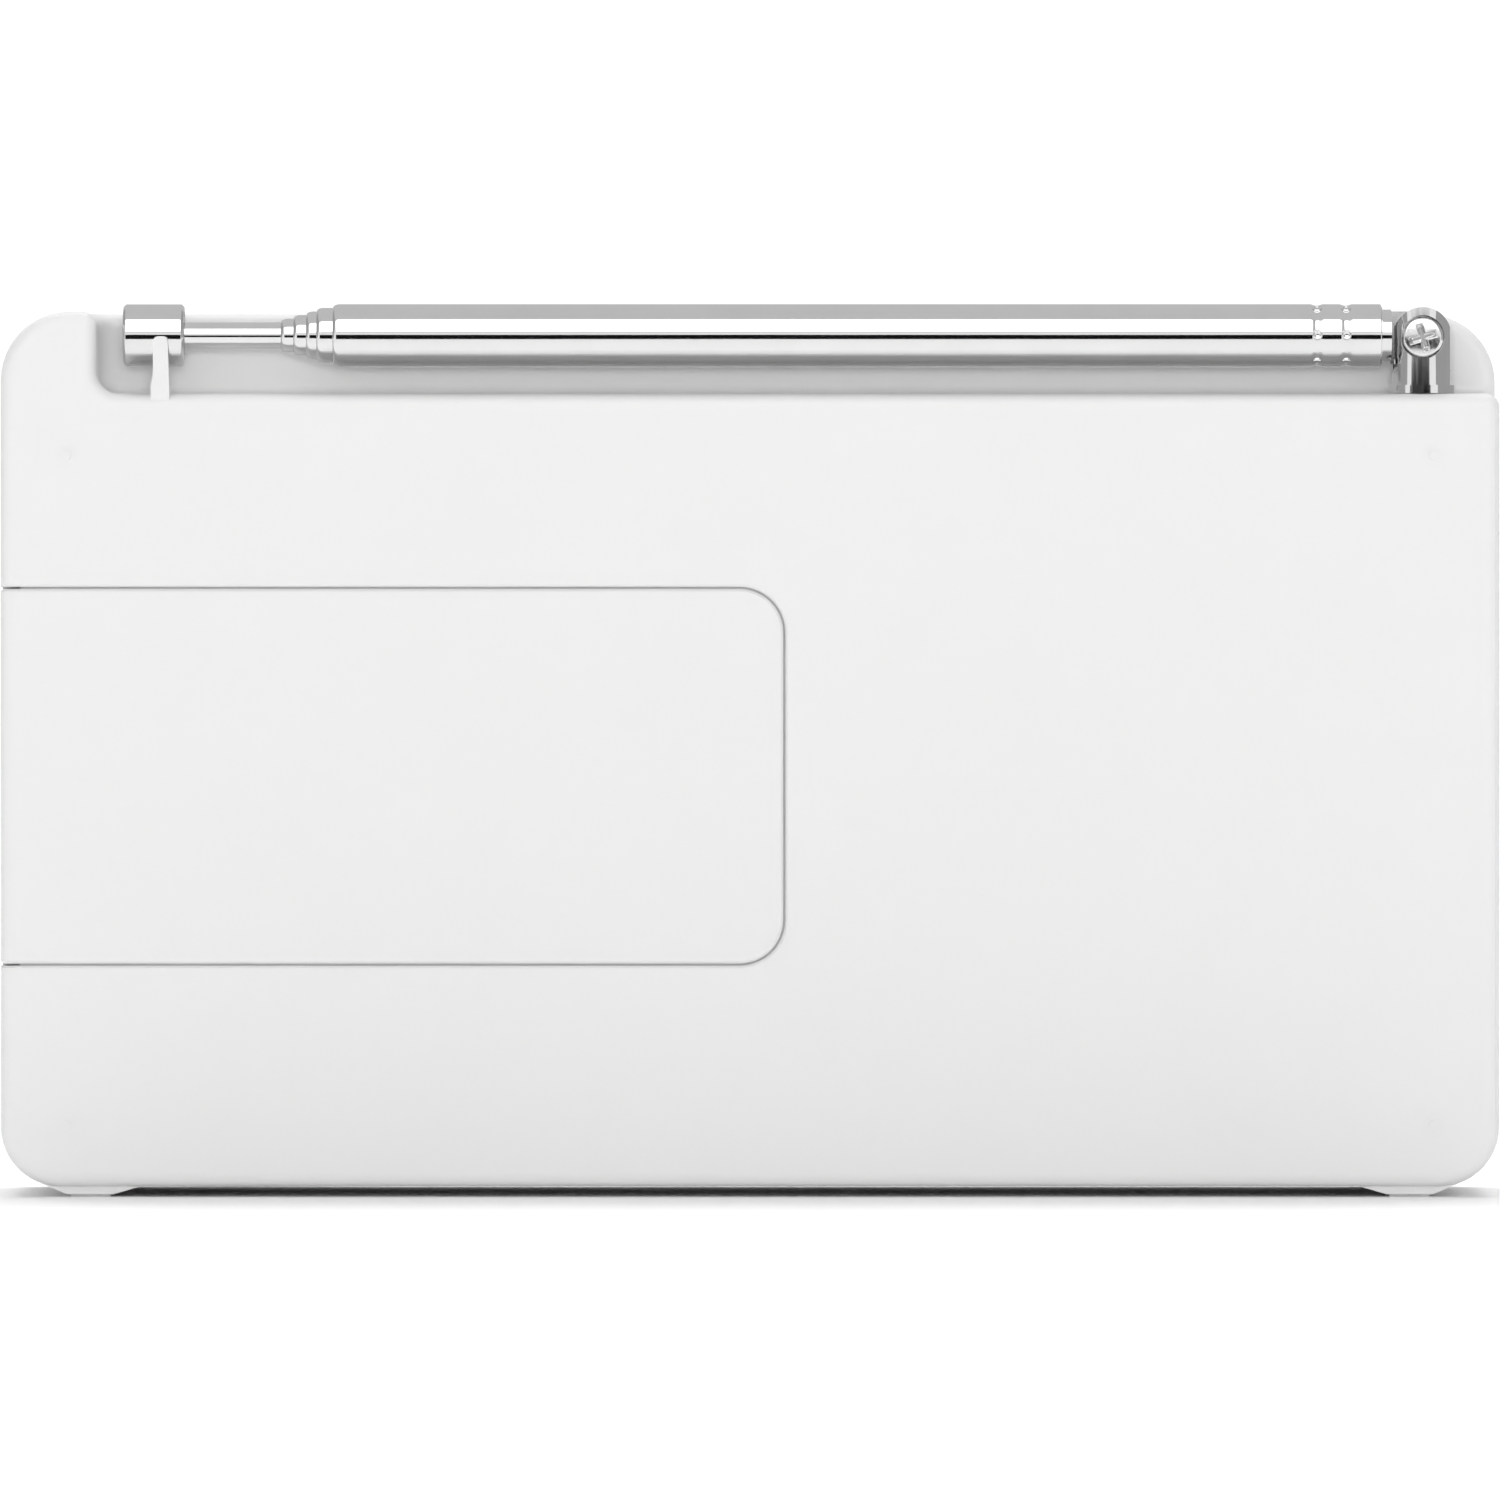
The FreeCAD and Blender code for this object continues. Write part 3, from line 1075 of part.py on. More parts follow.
def check_and_write():
    """Every object must have built, and every sub-part must be a valid shape, before any is written."""
    doc.recompute()
    failed = [item.Name for item in doc.Objects if {"Invalid", "Error"} & set(item.State)]
    failed += [item.Label for item in nodes if item.Shape.isNull() or not item.Shape.isValid()]
    if failed:
        raise RuntimeError("failed: " + ", ".join(failed))
    os.makedirs("parts", exist_ok=True)
    for item in nodes:
        item.Shape.exportStep(os.path.join("parts", item.Label + ".step"))
    print(len(nodes), "sub-parts written")


def main():
    fill_sheet()
    front_shell()
    rear_cover()
    battery_door()
    antenna_clip()
    foot_pads()
    antenna_base()
    antenna_pivot_screw()
    swivel_fixings()
    antenna_knuckle()
    for step in range(1, 6):
        antenna_tube(step)
    antenna_rod()
    antenna_tip()
    for x, name in zip(key_columns(), ("volume_down", "volume_up", "preset_down", "preset_up")):
        keycap(name + "_key", x, "key_z", pill)
    round_cap("power_key", "power_x")
    round_cap("mode_key", "mode_x")
    tact_switches()
    tuning_knob()
    encoder_shaft()
    knob_encoder()
    display()
    display_board()
    speaker_grille()
    speaker()
    main_board()
    board_parts()
    headphone_jack()
    dc_socket()
    battery_tray()
    battery_power()
    screws()
    leads()
    check_and_write()


main()
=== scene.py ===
"""Looks of the tabletop radio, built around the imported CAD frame. Lengths are in metres."""

import math

import bpy
import bmesh
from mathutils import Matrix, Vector


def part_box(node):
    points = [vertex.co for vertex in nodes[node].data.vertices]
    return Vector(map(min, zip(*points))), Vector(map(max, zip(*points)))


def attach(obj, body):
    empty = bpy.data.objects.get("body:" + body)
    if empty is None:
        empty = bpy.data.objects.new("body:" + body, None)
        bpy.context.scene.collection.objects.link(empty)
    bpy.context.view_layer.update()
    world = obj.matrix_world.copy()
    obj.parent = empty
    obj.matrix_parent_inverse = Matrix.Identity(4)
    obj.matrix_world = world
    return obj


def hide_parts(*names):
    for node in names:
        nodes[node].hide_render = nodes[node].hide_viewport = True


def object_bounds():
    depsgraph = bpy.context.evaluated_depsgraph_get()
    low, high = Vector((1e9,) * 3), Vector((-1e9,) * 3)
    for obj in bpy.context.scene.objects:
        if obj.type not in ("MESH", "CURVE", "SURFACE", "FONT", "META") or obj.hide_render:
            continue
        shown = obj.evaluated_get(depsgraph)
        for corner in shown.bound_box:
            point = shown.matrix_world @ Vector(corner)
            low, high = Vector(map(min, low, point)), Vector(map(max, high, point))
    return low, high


MM = 0.001
MICRON = 0.001 * MM

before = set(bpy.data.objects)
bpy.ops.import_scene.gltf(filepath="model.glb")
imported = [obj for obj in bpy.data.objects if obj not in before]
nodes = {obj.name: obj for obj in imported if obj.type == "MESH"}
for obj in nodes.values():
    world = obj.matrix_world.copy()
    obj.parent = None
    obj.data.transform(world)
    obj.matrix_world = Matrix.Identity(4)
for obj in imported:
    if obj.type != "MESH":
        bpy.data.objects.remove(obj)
cad_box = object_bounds()


# ---------------------------------------------------------------- materials
def new_material(name):
    """An empty principled material: its node tree and its shader."""
    material = bpy.data.materials.new(name)
    material.use_nodes = True
    tree = material.node_tree
    return material, tree, tree.nodes["Principled BSDF"]


def noise(tree, scale, detail, stretch=(1, 1, 1)):
    """A noise texture in object space, stretched along the axes."""
    coordinates = tree.nodes.new("ShaderNodeTexCoord")
    mapping = tree.nodes.new("ShaderNodeMapping")
    mapping.inputs["Scale"].default_value = stretch
    texture = tree.nodes.new("ShaderNodeTexNoise")
    texture.inputs["Scale"].default_value = scale
    texture.inputs["Detail"].default_value = detail
    tree.links.new(coordinates.outputs["Object"], mapping.inputs["Vector"])
    tree.links.new(mapping.outputs["Vector"], texture.inputs["Vector"])
    return texture


def ramp(tree, source, low, high, start=0.3, end=0.7):
    """Turn a noise value into a range of colour or roughness."""
    node = tree.nodes.new("ShaderNodeValToRGB")
    node.color_ramp.elements[0].position = start
    node.color_ramp.elements[1].position = end
    node.color_ramp.elements[0].color = low
    node.color_ramp.elements[1].color = high
    tree.links.new(source.outputs["Fac"], node.inputs["Fac"])
    return node


def grey(value):
    """A neutral tone, or a plain value carried as a colour."""
    return (value, value, value, 1)


def shade(colour, factor):
    """A colour made darker or lighter."""
    return tuple(min(1.0, channel * factor) for channel in colour[:3]) + (1,)


def add_bump(tree, shader, layers):
    """Bump layers, each (texture, height in metres), one on another."""
    previous = None
    for texture, height in layers:
        bump = tree.nodes.new("ShaderNodeBump")
        bump.inputs["Strength"].default_value = 1.0
        bump.inputs["Distance"].default_value = height
        tree.links.new(texture.outputs["Fac"], bump.inputs["Height"])
        if previous:
            tree.links.new(previous.outputs["Normal"], bump.inputs["Normal"])
        previous = bump
    tree.links.new(previous.outputs["Normal"], shader.inputs["Normal"])


def moulded_plastic(name, colour, roughness, grain=6 * MICRON, mottle=0.015, sheen=0.0, spread=0.05):
    """Injection-moulded plastic: spark-eroded grain, slight waviness and tiny tone changes."""
    material, tree, shader = new_material(name)
    fine = noise(tree, scale=4200, detail=3)
    broad = noise(tree, scale=45, detail=2)
    tone = ramp(tree, broad, shade(colour, 1 - mottle), shade(colour, 1 + mottle))
    tree.links.new(tone.outputs["Color"], shader.inputs["Base Color"])
    gloss = ramp(tree, fine, grey(roughness - spread), grey(roughness + spread))
    tree.links.new(gloss.outputs["Color"], shader.inputs["Roughness"])
    shader.inputs["IOR"].default_value = 1.5
    shader.inputs["Sheen Weight"].default_value = sheen
    add_bump(tree, shader, [(broad, 10 * MICRON), (fine, grain)])
    return material


def polished_chrome(name, tone, roughness, axis, fineness=60, cloud=0.015):
    """Bright plating with faint polishing lines along one axis and slight haze."""
    material, tree, shader = new_material(name)
    stretch = tuple(1 if i == axis else fineness for i in range(3))
    lines = noise(tree, scale=60, detail=3, stretch=stretch)
    haze = noise(tree, scale=260, detail=2)
    shader.inputs["Metallic"].default_value = 1.0
    tint = ramp(tree, haze, grey(tone * (1 - cloud)), grey(tone * (1 + cloud)))
    tree.links.new(tint.outputs["Color"], shader.inputs["Base Color"])
    gloss = ramp(tree, lines, low=grey(roughness * 0.7), high=grey(roughness * 1.4))
    tree.links.new(gloss.outputs["Color"], shader.inputs["Roughness"])
    add_bump(tree, shader, [(lines, 0.6 * MICRON)])
    return material


def plain_metal(name, colour, roughness, grain=2 * MICRON):
    """Zinc-plated or painted sheet: cloudy tone with fine grain."""
    material, tree, shader = new_material(name)
    cloud = noise(tree, scale=600, detail=4)
    shader.inputs["Metallic"].default_value = 1.0
    tint = ramp(tree, cloud, low=shade(colour, 0.88), high=shade(colour, 1.08))
    tree.links.new(tint.outputs["Color"], shader.inputs["Base Color"])
    gloss = ramp(tree, cloud, low=grey(roughness * 0.8), high=grey(roughness * 1.25))
    tree.links.new(gloss.outputs["Color"], shader.inputs["Roughness"])
    add_bump(tree, shader, [(noise(tree, scale=5000, detail=2), grain)])
    return material


def soft_rubber(name, colour, darkest, palest):
    """Matt rubber with a dusty bloom."""
    material, tree, shader = new_material(name)
    bloom = noise(tree, scale=900, detail=5)
    tint = ramp(tree, bloom, shade(colour, darkest), shade(colour, palest))
    tree.links.new(tint.outputs["Color"], shader.inputs["Base Color"])
    shader.inputs["Roughness"].default_value = 0.82
    add_bump(tree, shader, [(noise(tree, scale=7000, detail=2), 10 * MICRON)])
    return material


def smoked_window(name):
    """The tinted clear cover over the display, with faint wipe marks."""
    material, tree, shader = new_material(name)
    marks = noise(tree, scale=30, detail=4, stretch=(1, 1, 6))
    gloss = ramp(tree, marks, low=grey(0.03), high=grey(0.09))
    tree.links.new(gloss.outputs["Color"], shader.inputs["Roughness"])
    shader.inputs["Base Color"].default_value = (0.42, 0.43, 0.45, 1)
    shader.inputs["Transmission Weight"].default_value = 1.0
    shader.inputs["IOR"].default_value = 1.49
    return material


def display_glass(name):
    """The liquid-crystal panel: grey-green with a fine grain."""
    material, tree, shader = new_material(name)
    grain = noise(tree, scale=2500, detail=0)
    tint = ramp(tree, grain, low=(0.34, 0.39, 0.31, 1), high=(0.40, 0.45, 0.36, 1))
    tree.links.new(tint.outputs["Color"], shader.inputs["Base Color"])
    shader.inputs["Roughness"].default_value = 0.25
    shader.inputs["Coat Weight"].default_value = 0.4
    return material


GLOW = 0.5
GLOW_START = 0.35
GLOW_FULL = 1.6


def floor_paper(name):
    """Pale seamless paper that glows further out, so that it stays white away from the lights."""
    material, tree, shader = new_material(name)
    fibre = noise(tree, scale=500, detail=3)
    tint = ramp(tree, fibre, low=grey(0.96), high=grey(0.98))
    tree.links.new(tint.outputs["Color"], shader.inputs["Base Color"])
    place = tree.nodes.new("ShaderNodeTexCoord")
    distance = tree.nodes.new("ShaderNodeVectorMath")
    distance.operation = "LENGTH"
    glow = tree.nodes.new("ShaderNodeMapRange")
    glow.interpolation_type = "SMOOTHSTEP"
    glow.inputs["From Min"].default_value = GLOW_START
    glow.inputs["From Max"].default_value = GLOW_FULL
    glow.inputs["To Max"].default_value = GLOW
    tree.links.new(place.outputs["Object"], distance.inputs[0])
    tree.links.new(distance.outputs["Value"], glow.inputs["Value"])
    tree.links.new(tint.outputs["Color"], shader.inputs["Emission Color"])
    tree.links.new(glow.outputs["Result"], shader.inputs["Emission Strength"])
    shader.inputs["Roughness"].default_value = 0.7
    shader.inputs["Specular IOR Level"].default_value = 0.25
    return material


def glowing_card(name, tone, cloud=0.02):
    """A card that glows evenly by itself at a fixed brightness, not lit by the lamps, for shaping what the
    plating reflects.
    """
    material, tree, shader = new_material(name)
    tint = ramp(tree, noise(tree, scale=12, detail=1), grey(tone * (1 - cloud)), grey(tone * (1 + cloud)))
    tree.links.new(tint.outputs["Color"], shader.inputs["Emission Color"])
    shader.inputs["Emission Strength"].default_value = 1.0
    shader.inputs["Base Color"].default_value = (0, 0, 0, 1)
    shader.inputs["Specular IOR Level"].default_value = 0.0
    return material


WHITE = (0.70, 0.70, 0.697, 1)

case_plastic = moulded_plastic("case_plastic", WHITE, roughness=0.42, mottle=0.004, sheen=0.02)
key_plastic = moulded_plastic("key_plastic", (0.30, 0.31, 0.32, 1), roughness=0.48)
knob_plastic = moulded_plastic("knob_plastic", (0.26, 0.27, 0.28, 1), roughness=0.40)
dark_plastic = moulded_plastic("dark_plastic", (0.022, 0.022, 0.024, 1), roughness=0.5)
tray_plastic = moulded_plastic("tray_plastic", (0.66, 0.66, 0.65, 1), roughness=0.5)
ribbon_plastic = moulded_plastic("ribbon_plastic", (0.5, 0.5, 0.5, 1), roughness=0.35)
board_mask = moulded_plastic("board_mask", (0.012, 0.10, 0.035, 1), roughness=0.28, mottle=0.15)
cell_sleeve = moulded_plastic("cell_sleeve", (0.05, 0.075, 0.12, 1), roughness=0.25, mottle=0.05)
lead_sleeve = moulded_plastic("lead_sleeve", (0.30, 0.02, 0.015, 1), roughness=0.45)
cone_paper = moulded_plastic("cone_paper", (0.02, 0.02, 0.021, 1), roughness=0.85, grain=30 * MICRON,
                             mottle=0.2)
foot_rubber = soft_rubber("foot_rubber", (0.70, 0.70, 0.69, 1), darkest=0.93, palest=1.05)
surround_rubber = soft_rubber("surround_rubber", (0.03, 0.03, 0.032, 1), darkest=0.8, palest=1.35)
tube_chrome = polished_chrome("tube_chrome", tone=0.72, roughness=0.07, axis=0)
fitting_chrome = polished_chrome("fitting_chrome", tone=0.70, roughness=0.07, axis=2)
screw_chrome = polished_chrome("screw_chrome", tone=0.74, roughness=0.16, axis=1)
zinc_steel = plain_metal("zinc_steel", (0.55, 0.55, 0.54, 1), roughness=0.35)
grille_metal = plain_metal("grille_metal", (0.42, 0.43, 0.44, 1), roughness=0.42)
ferrite = plain_metal("ferrite", (0.05, 0.05, 0.052, 1), roughness=0.6, grain=10 * MICRON)
copper = plain_metal("copper", (0.72, 0.30, 0.12, 1), roughness=0.3)
window_clear = smoked_window("window_clear")
lcd_glass = display_glass("lcd_glass")

NODE_MATERIALS = {
    case_plastic: ["front_shell", "rear_cover", "battery_door", "antenna_clip"],
    key_plastic: ["volume_down_key", "volume_up_key", "preset_down_key", "preset_up_key", "power_key",
                  "mode_key"],
    knob_plastic: ["tuning_knob"],
    dark_plastic: ["lcd_frame", "tact_switches", "knob_encoder", "board_chips", "headphone_jack",
                   "dc_socket"],
    tray_plastic: ["battery_tray"],
    ribbon_plastic: ["ribbon_cable"],
    board_mask: ["display_board", "main_board"],
    cell_sleeve: ["battery_cells", "board_capacitors"],
    lead_sleeve: ["antenna_lead", "speaker_leads", "battery_leads"],
    cone_paper: ["speaker_cone", "dust_cap"],
    foot_rubber: ["foot_pads"],
    surround_rubber: ["speaker_surround"],
    tube_chrome: ["antenna_tube_1", "antenna_tube_2", "antenna_tube_3", "antenna_tube_4",
                  "antenna_tube_5", "antenna_rod", "antenna_tip"],
    fitting_chrome: ["antenna_base", "antenna_knuckle"],
    screw_chrome: ["antenna_pivot_screw"],
    zinc_steel: ["antenna_lug", "antenna_washer", "antenna_nut", "encoder_shaft", "speaker_frame",
                 "speaker_plate", "speaker_yoke", "speaker_screws", "tuner_shield", "board_screws",
                 "battery_contacts", "battery_springs", "case_screws"],
    grille_metal: ["speaker_grille"],
    ferrite: ["speaker_magnet"],
    copper: ["voice_coil"],
    window_clear: ["display_window"],
    lcd_glass: ["lcd_panel"],
}


def dress_nodes():
    """Give every CAD node its material."""
    for material, names in NODE_MATERIALS.items():
        for name in names:
            mesh = nodes[name].data
            mesh.materials.clear()
            mesh.materials.append(material)


# ---------------------------------------------------------------- mesh helpers
LONGEST_ARC = 0.49


def arc_corner(before, corner, after, radius, steps=5):
    """Points of a round corner between two runs, on which it takes up less than half of either."""
    corner = Vector(corner)
    back, ahead = Vector(before) - corner, Vector(after) - corner
    shorter = min(back.length, ahead.length)
    back, ahead = back.normalized(), ahead.normalized()
    half = back.angle(ahead) / 2
    reach = min(radius / math.tan(half), LONGEST_ARC * shorter)
    radius = reach * math.tan(half)
    centre = corner + (back + ahead).normalized() * (radius / math.sin(half))
    start, end = corner + back * reach - centre, corner + ahead * reach - centre
    turn = start.angle_signed(end)
    points = []
    for i in range(steps + 1):
        angle = -turn * i / steps
        x = start.x * math.cos(angle) - start.y * math.sin(angle)
        y = start.x * math.sin(angle) + start.y * math.cos(angle)
        points.append((centre.x + x, centre.y + y))
    return points


def rounded_profile(corners):
    """A profile of (along, radius[, round]) corners, with its round corners drawn as arcs."""
    points = []
    for i, corner in enumerate(corners):
        if len(corner) == 2 or i in (0, len(corners) - 1):
            points.append(tuple(corner[:2]))
        else:
            points += arc_corner(corners[i - 1][:2], corner[:2], corners[i + 1][:2], corner[2])
    return points


def add_ring(shape, centre, side, up, radius, count):
    """A ring of vertices, or a single one where the radius is nothing."""
    if radius == 0:
        return [shape.verts.new(centre)]
    ring = []
    for i in range(count):
        angle = 2 * math.pi * i / count
        offset = side * math.cos(angle) + up * math.sin(angle)
        ring.append(shape.verts.new(centre + offset * radius))
    return ring


def join_rings(shape, first, second):
    """Faces between two rings of vertices; either may be a single point."""
    count = max(len(first), len(second))
    for i in range(count):
        k = (i + 1) % count
        corners = [first[i % len(first)], first[k % len(first)],
                   second[k % len(second)], second[i % len(second)]]
        unique = list(dict.fromkeys(corners))
        if len(unique) > 2:
            shape.faces.new(unique)


def shape_to_piece(shape, name, material, sharp=40):
    """Turn a finished shape into an object, smooth but for creases past the angle."""
    mesh = bpy.data.meshes.new(name)
    shape.to_mesh(mesh)
    shape.free()
    mesh.shade_smooth()
    mesh.set_sharp_from_angle(angle=math.radians(sharp))
    mesh.materials.append(material)
    piece = bpy.data.objects.new(name, mesh)
    bpy.context.scene.collection.objects.link(piece)
    return piece


def lathe(name, centre, profile, material, segments=160):
    """A closed body of revolution about X; its profile starts and ends on the axis or on itself."""
    shape = bmesh.new()
    along, side, up = Vector((1, 0, 0)), Vector((0, 1, 0)), Vector((0, 0, 1))
    rings = [add_ring(shape, centre + along * distance, side, up, radius, segments)
             for distance, radius in profile]
    pairs = list(zip(rings, rings[1:]))
    if len(rings[0]) > 1 and len(rings[-1]) > 1:
        pairs.append((rings[-1], rings[0]))
    for first, second in pairs:
        join_rings(shape, first, second)
    bmesh.ops.recalc_face_normals(shape, faces=shape.faces)
    return shape_to_piece(shape, name, material)


def add_to(body, piece, *replaced):
    """Ride on one of the antenna's bodies, and hide the CAD nodes that the piece stands for."""
    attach(piece, body)
    if replaced:
        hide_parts(*replaced)


# ---------------------------------------------------------------- antenna
# The telescopic sections: each tube slides in the one before it and is drawn in at its mouth.
TUBE_COUNT = 5
TUBE_STEP = 0.4 * MM
TUBE_WALL = 0.3 * MM
SLIDE_GAP = 0.05 * MM
MOUTH_LONG = 2.0 * MM
ROOT_ROUND = 0.55 * MM
TAIL_LONG = 3.0 * MM
TAIL_TAPER = 0.4 * MM
ROD_OVERRUN = 0.3 * MM
BEAD_LONG = 0.75 * MM
BEAD_STEPS = 8

# The two rolled grooves near the first tube's root, measured from its end, and their dimples.
# A dimple's shape is a list of its reach and its height, as shares of its radius and its rise.
CRIMPS = (3.9 * MM, 7.1 * MM)
CRIMP_DEPTH = 0.18 * MM
CRIMP_WIDTH = 0.75 * MM
DIMPLE_RADIUS = 0.6 * MM
DIMPLE_HEIGHT = 0.26 * MM
DIMPLE_SINK = 1.2 * CRIMP_DEPTH
DIMPLE_FOOT = 0.15 * MM
DIMPLES = 6
DIMPLE_SHAPE = [(1.0, 0.0), (0.95, 0.5), (0.82, 0.9), (0.68, 1.0), (0.52, 0.7), (0.36, 0.45),
                (0.18, 0.36), (0, 0.33)]

# The tip: eased ends, and a shallow dish inside a lip.
TIP_EASE = 0.28 * MM
TIP_ROUND = 0.2 * MM
TIP_LIP_ROUND = 0.1 * MM
TIP_LIP = 0.7 * MM
TIP_DISH = 0.35 * MM
TIP_DISH_SLOPE = 0.25 * MM

# The tilt screw's cross recess: half an arm's width, an arm's reach from the centre, and its slopes.
CROSS_WIDE = 0.42 * MM
CROSS_LONG = 1.62 * MM
CROSS_SLOPE = 0.22 * MM
CROSS_DEEP = 0.62 * MM
CROSS_TURN = math.radians(17)

# The tilt screw's head and shank; its edge is eased from EDGE_START of the radius outwards.
HEAD_DOME = 0.26 * MM
HEAD_EDGE = 0.22 * MM
HEAD_HIGH = 1.3 * MM
EDGE_START = 0.86
EDGE_POWER = 2.2
SHANK_RADIUS = 1.25 * MM
FORK_EASE = 0.12 * MM

tube_low, tube_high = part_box("antenna_tube_1")
TUBE_RADIUS = (tube_high.z - tube_low.z) / 2
MAST_AXIS = Vector((0, (tube_low.y + tube_high.y) / 2, (tube_low.z + tube_high.z) / 2))


def groove_points(middle, radius, steps=6):
    """A shallow rolled groove in a tube, as profile points."""
    points = []
    for i in range(-steps, steps + 1):
        share = i / steps
        drop = CRIMP_DEPTH * (0.5 + 0.5 * math.cos(math.pi * share))
        points.append((middle + share * CRIMP_WIDTH, radius - drop))
    return points


def bead(end, radius, mouth):
    """A tube's mouth, drawn in over a quarter of an ellipse."""
    points = []
    for i in range(BEAD_STEPS + 1):
        angle = math.pi / 2 * i / BEAD_STEPS
        points.append((end - BEAD_LONG * (1 - math.sin(angle)), mouth + (radius - mouth) * math.cos(angle)))
    return points


def outer_tube():
    """The first tube: rolled root, two crimp grooves and a rounded mouth; the dimples in the grooves are a
    piece of their own.
    """
    start, end, radius = tube_low.x, tube_high.x, TUBE_RADIUS
    bore, mouth = radius - TUBE_WALL, radius - TUBE_STEP + SLIDE_GAP
    root = arc_corner((start, bore), (start, radius), (start + CRIMPS[0], radius), ROOT_ROUND)
    profile = [(start, bore)] + root
    for crimp in CRIMPS:
        profile += groove_points(start + crimp, radius)
    profile += bead(end, radius, mouth)
    profile += [(end - MOUTH_LONG, mouth), (end - MOUTH_LONG, bore)]
    piece = lathe("antenna_outer_tube", MAST_AXIS, profile, tube_chrome)
    add_to("antenna_mast", piece, "antenna_tube_1")


def dimples():
    """The pressed beads that hold the knuckle in the first tube."""
    shape = bmesh.new()
    for crimp in CRIMPS:
        for i in range(DIMPLES):
            angle = 2 * math.pi * i / DIMPLES
            out = Vector((0, math.cos(angle), math.sin(angle)))
            tangent = Vector((0, -math.sin(angle), math.cos(angle)))
            foot = MAST_AXIS + Vector((tube_low.x + crimp, 0, 0)) + out * (TUBE_RADIUS - DIMPLE_SINK)
            add_bead(shape, foot, Vector((1, 0, 0)), tangent, out)
    piece = shape_to_piece(shape, "antenna_crimp_beads", tube_chrome, sharp=60)
    add_to("antenna_mast", piece)


def add_bead(shape, foot, side, up, out, around=24):
    """A closed bead: a raised rim round a small pit, with its foot inside the tube."""
    rings = [add_ring(shape, foot + out * (DIMPLE_HEIGHT * height), side, up, DIMPLE_RADIUS * reach, around)
             for reach, height in DIMPLE_SHAPE]
    base = [shape.verts.new(v.co - out * DIMPLE_FOOT) for v in rings[0]]
    rings.insert(0, base)
    for first, second in zip(rings, rings[1:]):
        join_rings(shape, first, second)
    shape.faces.new(list(reversed(base)))


def inner_tube(step):
    """One of the pushed-in tubes, with a beaded mouth."""
    name = f"antenna_tube_{step}"
    low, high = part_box(name)
    start, end = low.x, high.x
    radius = TUBE_RADIUS - (step - 1) * TUBE_STEP
    bore, mouth = radius - TUBE_WALL, radius - TUBE_STEP + SLIDE_GAP
    tail, tail_end = radius + SLIDE_GAP, start + TAIL_LONG
    profile = [(start, bore), (start, tail), (tail_end, tail), (tail_end + TAIL_TAPER, radius)]
    profile += bead(end, radius, mouth)
    profile += [(end - MOUTH_LONG, mouth), (end - MOUTH_LONG, bore)]
    piece = lathe(f"antenna_inner_tube_{step}", MAST_AXIS, profile, tube_chrome)
    add_to("antenna_mast", piece, name)


def inner_rod():
    """The thin rod, which runs a little way into the tip."""
    low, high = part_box("antenna_rod")
    radius = TUBE_RADIUS - TUBE_COUNT * TUBE_STEP
    end = high.x + ROD_OVERRUN
    profile = [(low.x, 0), (low.x, radius), (end, radius), (end, 0)]
    piece = lathe("antenna_inner_rod", MAST_AXIS, profile, tube_chrome)
    add_to("antenna_mast", piece, "antenna_rod")


def tip_knob():
    """The antenna's tip: a plain drum with eased ends and a shallow dish round the rod."""
    low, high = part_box("antenna_tip")
    radius = (high.z - low.z) / 2
    dish = low.x + TIP_DISH
    profile = rounded_profile([
        (dish, 0), (dish, radius - TIP_LIP - TIP_DISH_SLOPE, TIP_ROUND),
        (low.x, radius - TIP_LIP, TIP_LIP_ROUND), (low.x, radius - TIP_EASE, TIP_LIP_ROUND),
        (low.x + TIP_EASE, radius, TIP_ROUND), (high.x - TIP_EASE, radius, TIP_ROUND),
        (high.x, radius - TIP_EASE, TIP_ROUND), (high.x, 0)])
    piece = lathe("antenna_tip_knob", MAST_AXIS, profile, tube_chrome)
    add_to("antenna_mast", piece, "antenna_tip")


def cross_depth(across, along):
    """How deep the cross recess is at a point of the screw's face, from 0 to 1."""
    depth = 0
    for wide, long in ((abs(across), abs(along)), (abs(along), abs(across))):
        side = (CROSS_WIDE - wide) / CROSS_SLOPE
        end = (CROSS_LONG - long) / (2 * CROSS_SLOPE)
        depth = max(depth, min(1, max(0, min(side, end))))
    return depth


def face_drop(share, radius, angle):
    """How far the head's face lies below its crown: domed, eased at the edge and cut by the cross."""
    edge = max(0, (share - EDGE_START) / (1 - EDGE_START))
    fall = HEAD_DOME * share ** 2 + HEAD_EDGE * edge ** EDGE_POWER
    turned = angle + CROSS_TURN
    deep = cross_depth(radius * share * math.cos(turned), radius * share * math.sin(turned))
    return max(fall, CROSS_DEEP * deep)


def screw_ring(shape, centre, reach, heights):
    """A ring of vertices round the screw's axis, each at its own height along Y."""
    ring = []
    for i, height in enumerate(heights):
        angle = 2 * math.pi * i / len(heights)
        offset = Vector((reach * math.cos(angle), height, reach * math.sin(angle)))
        ring.append(shape.verts.new(centre + offset))
    return ring


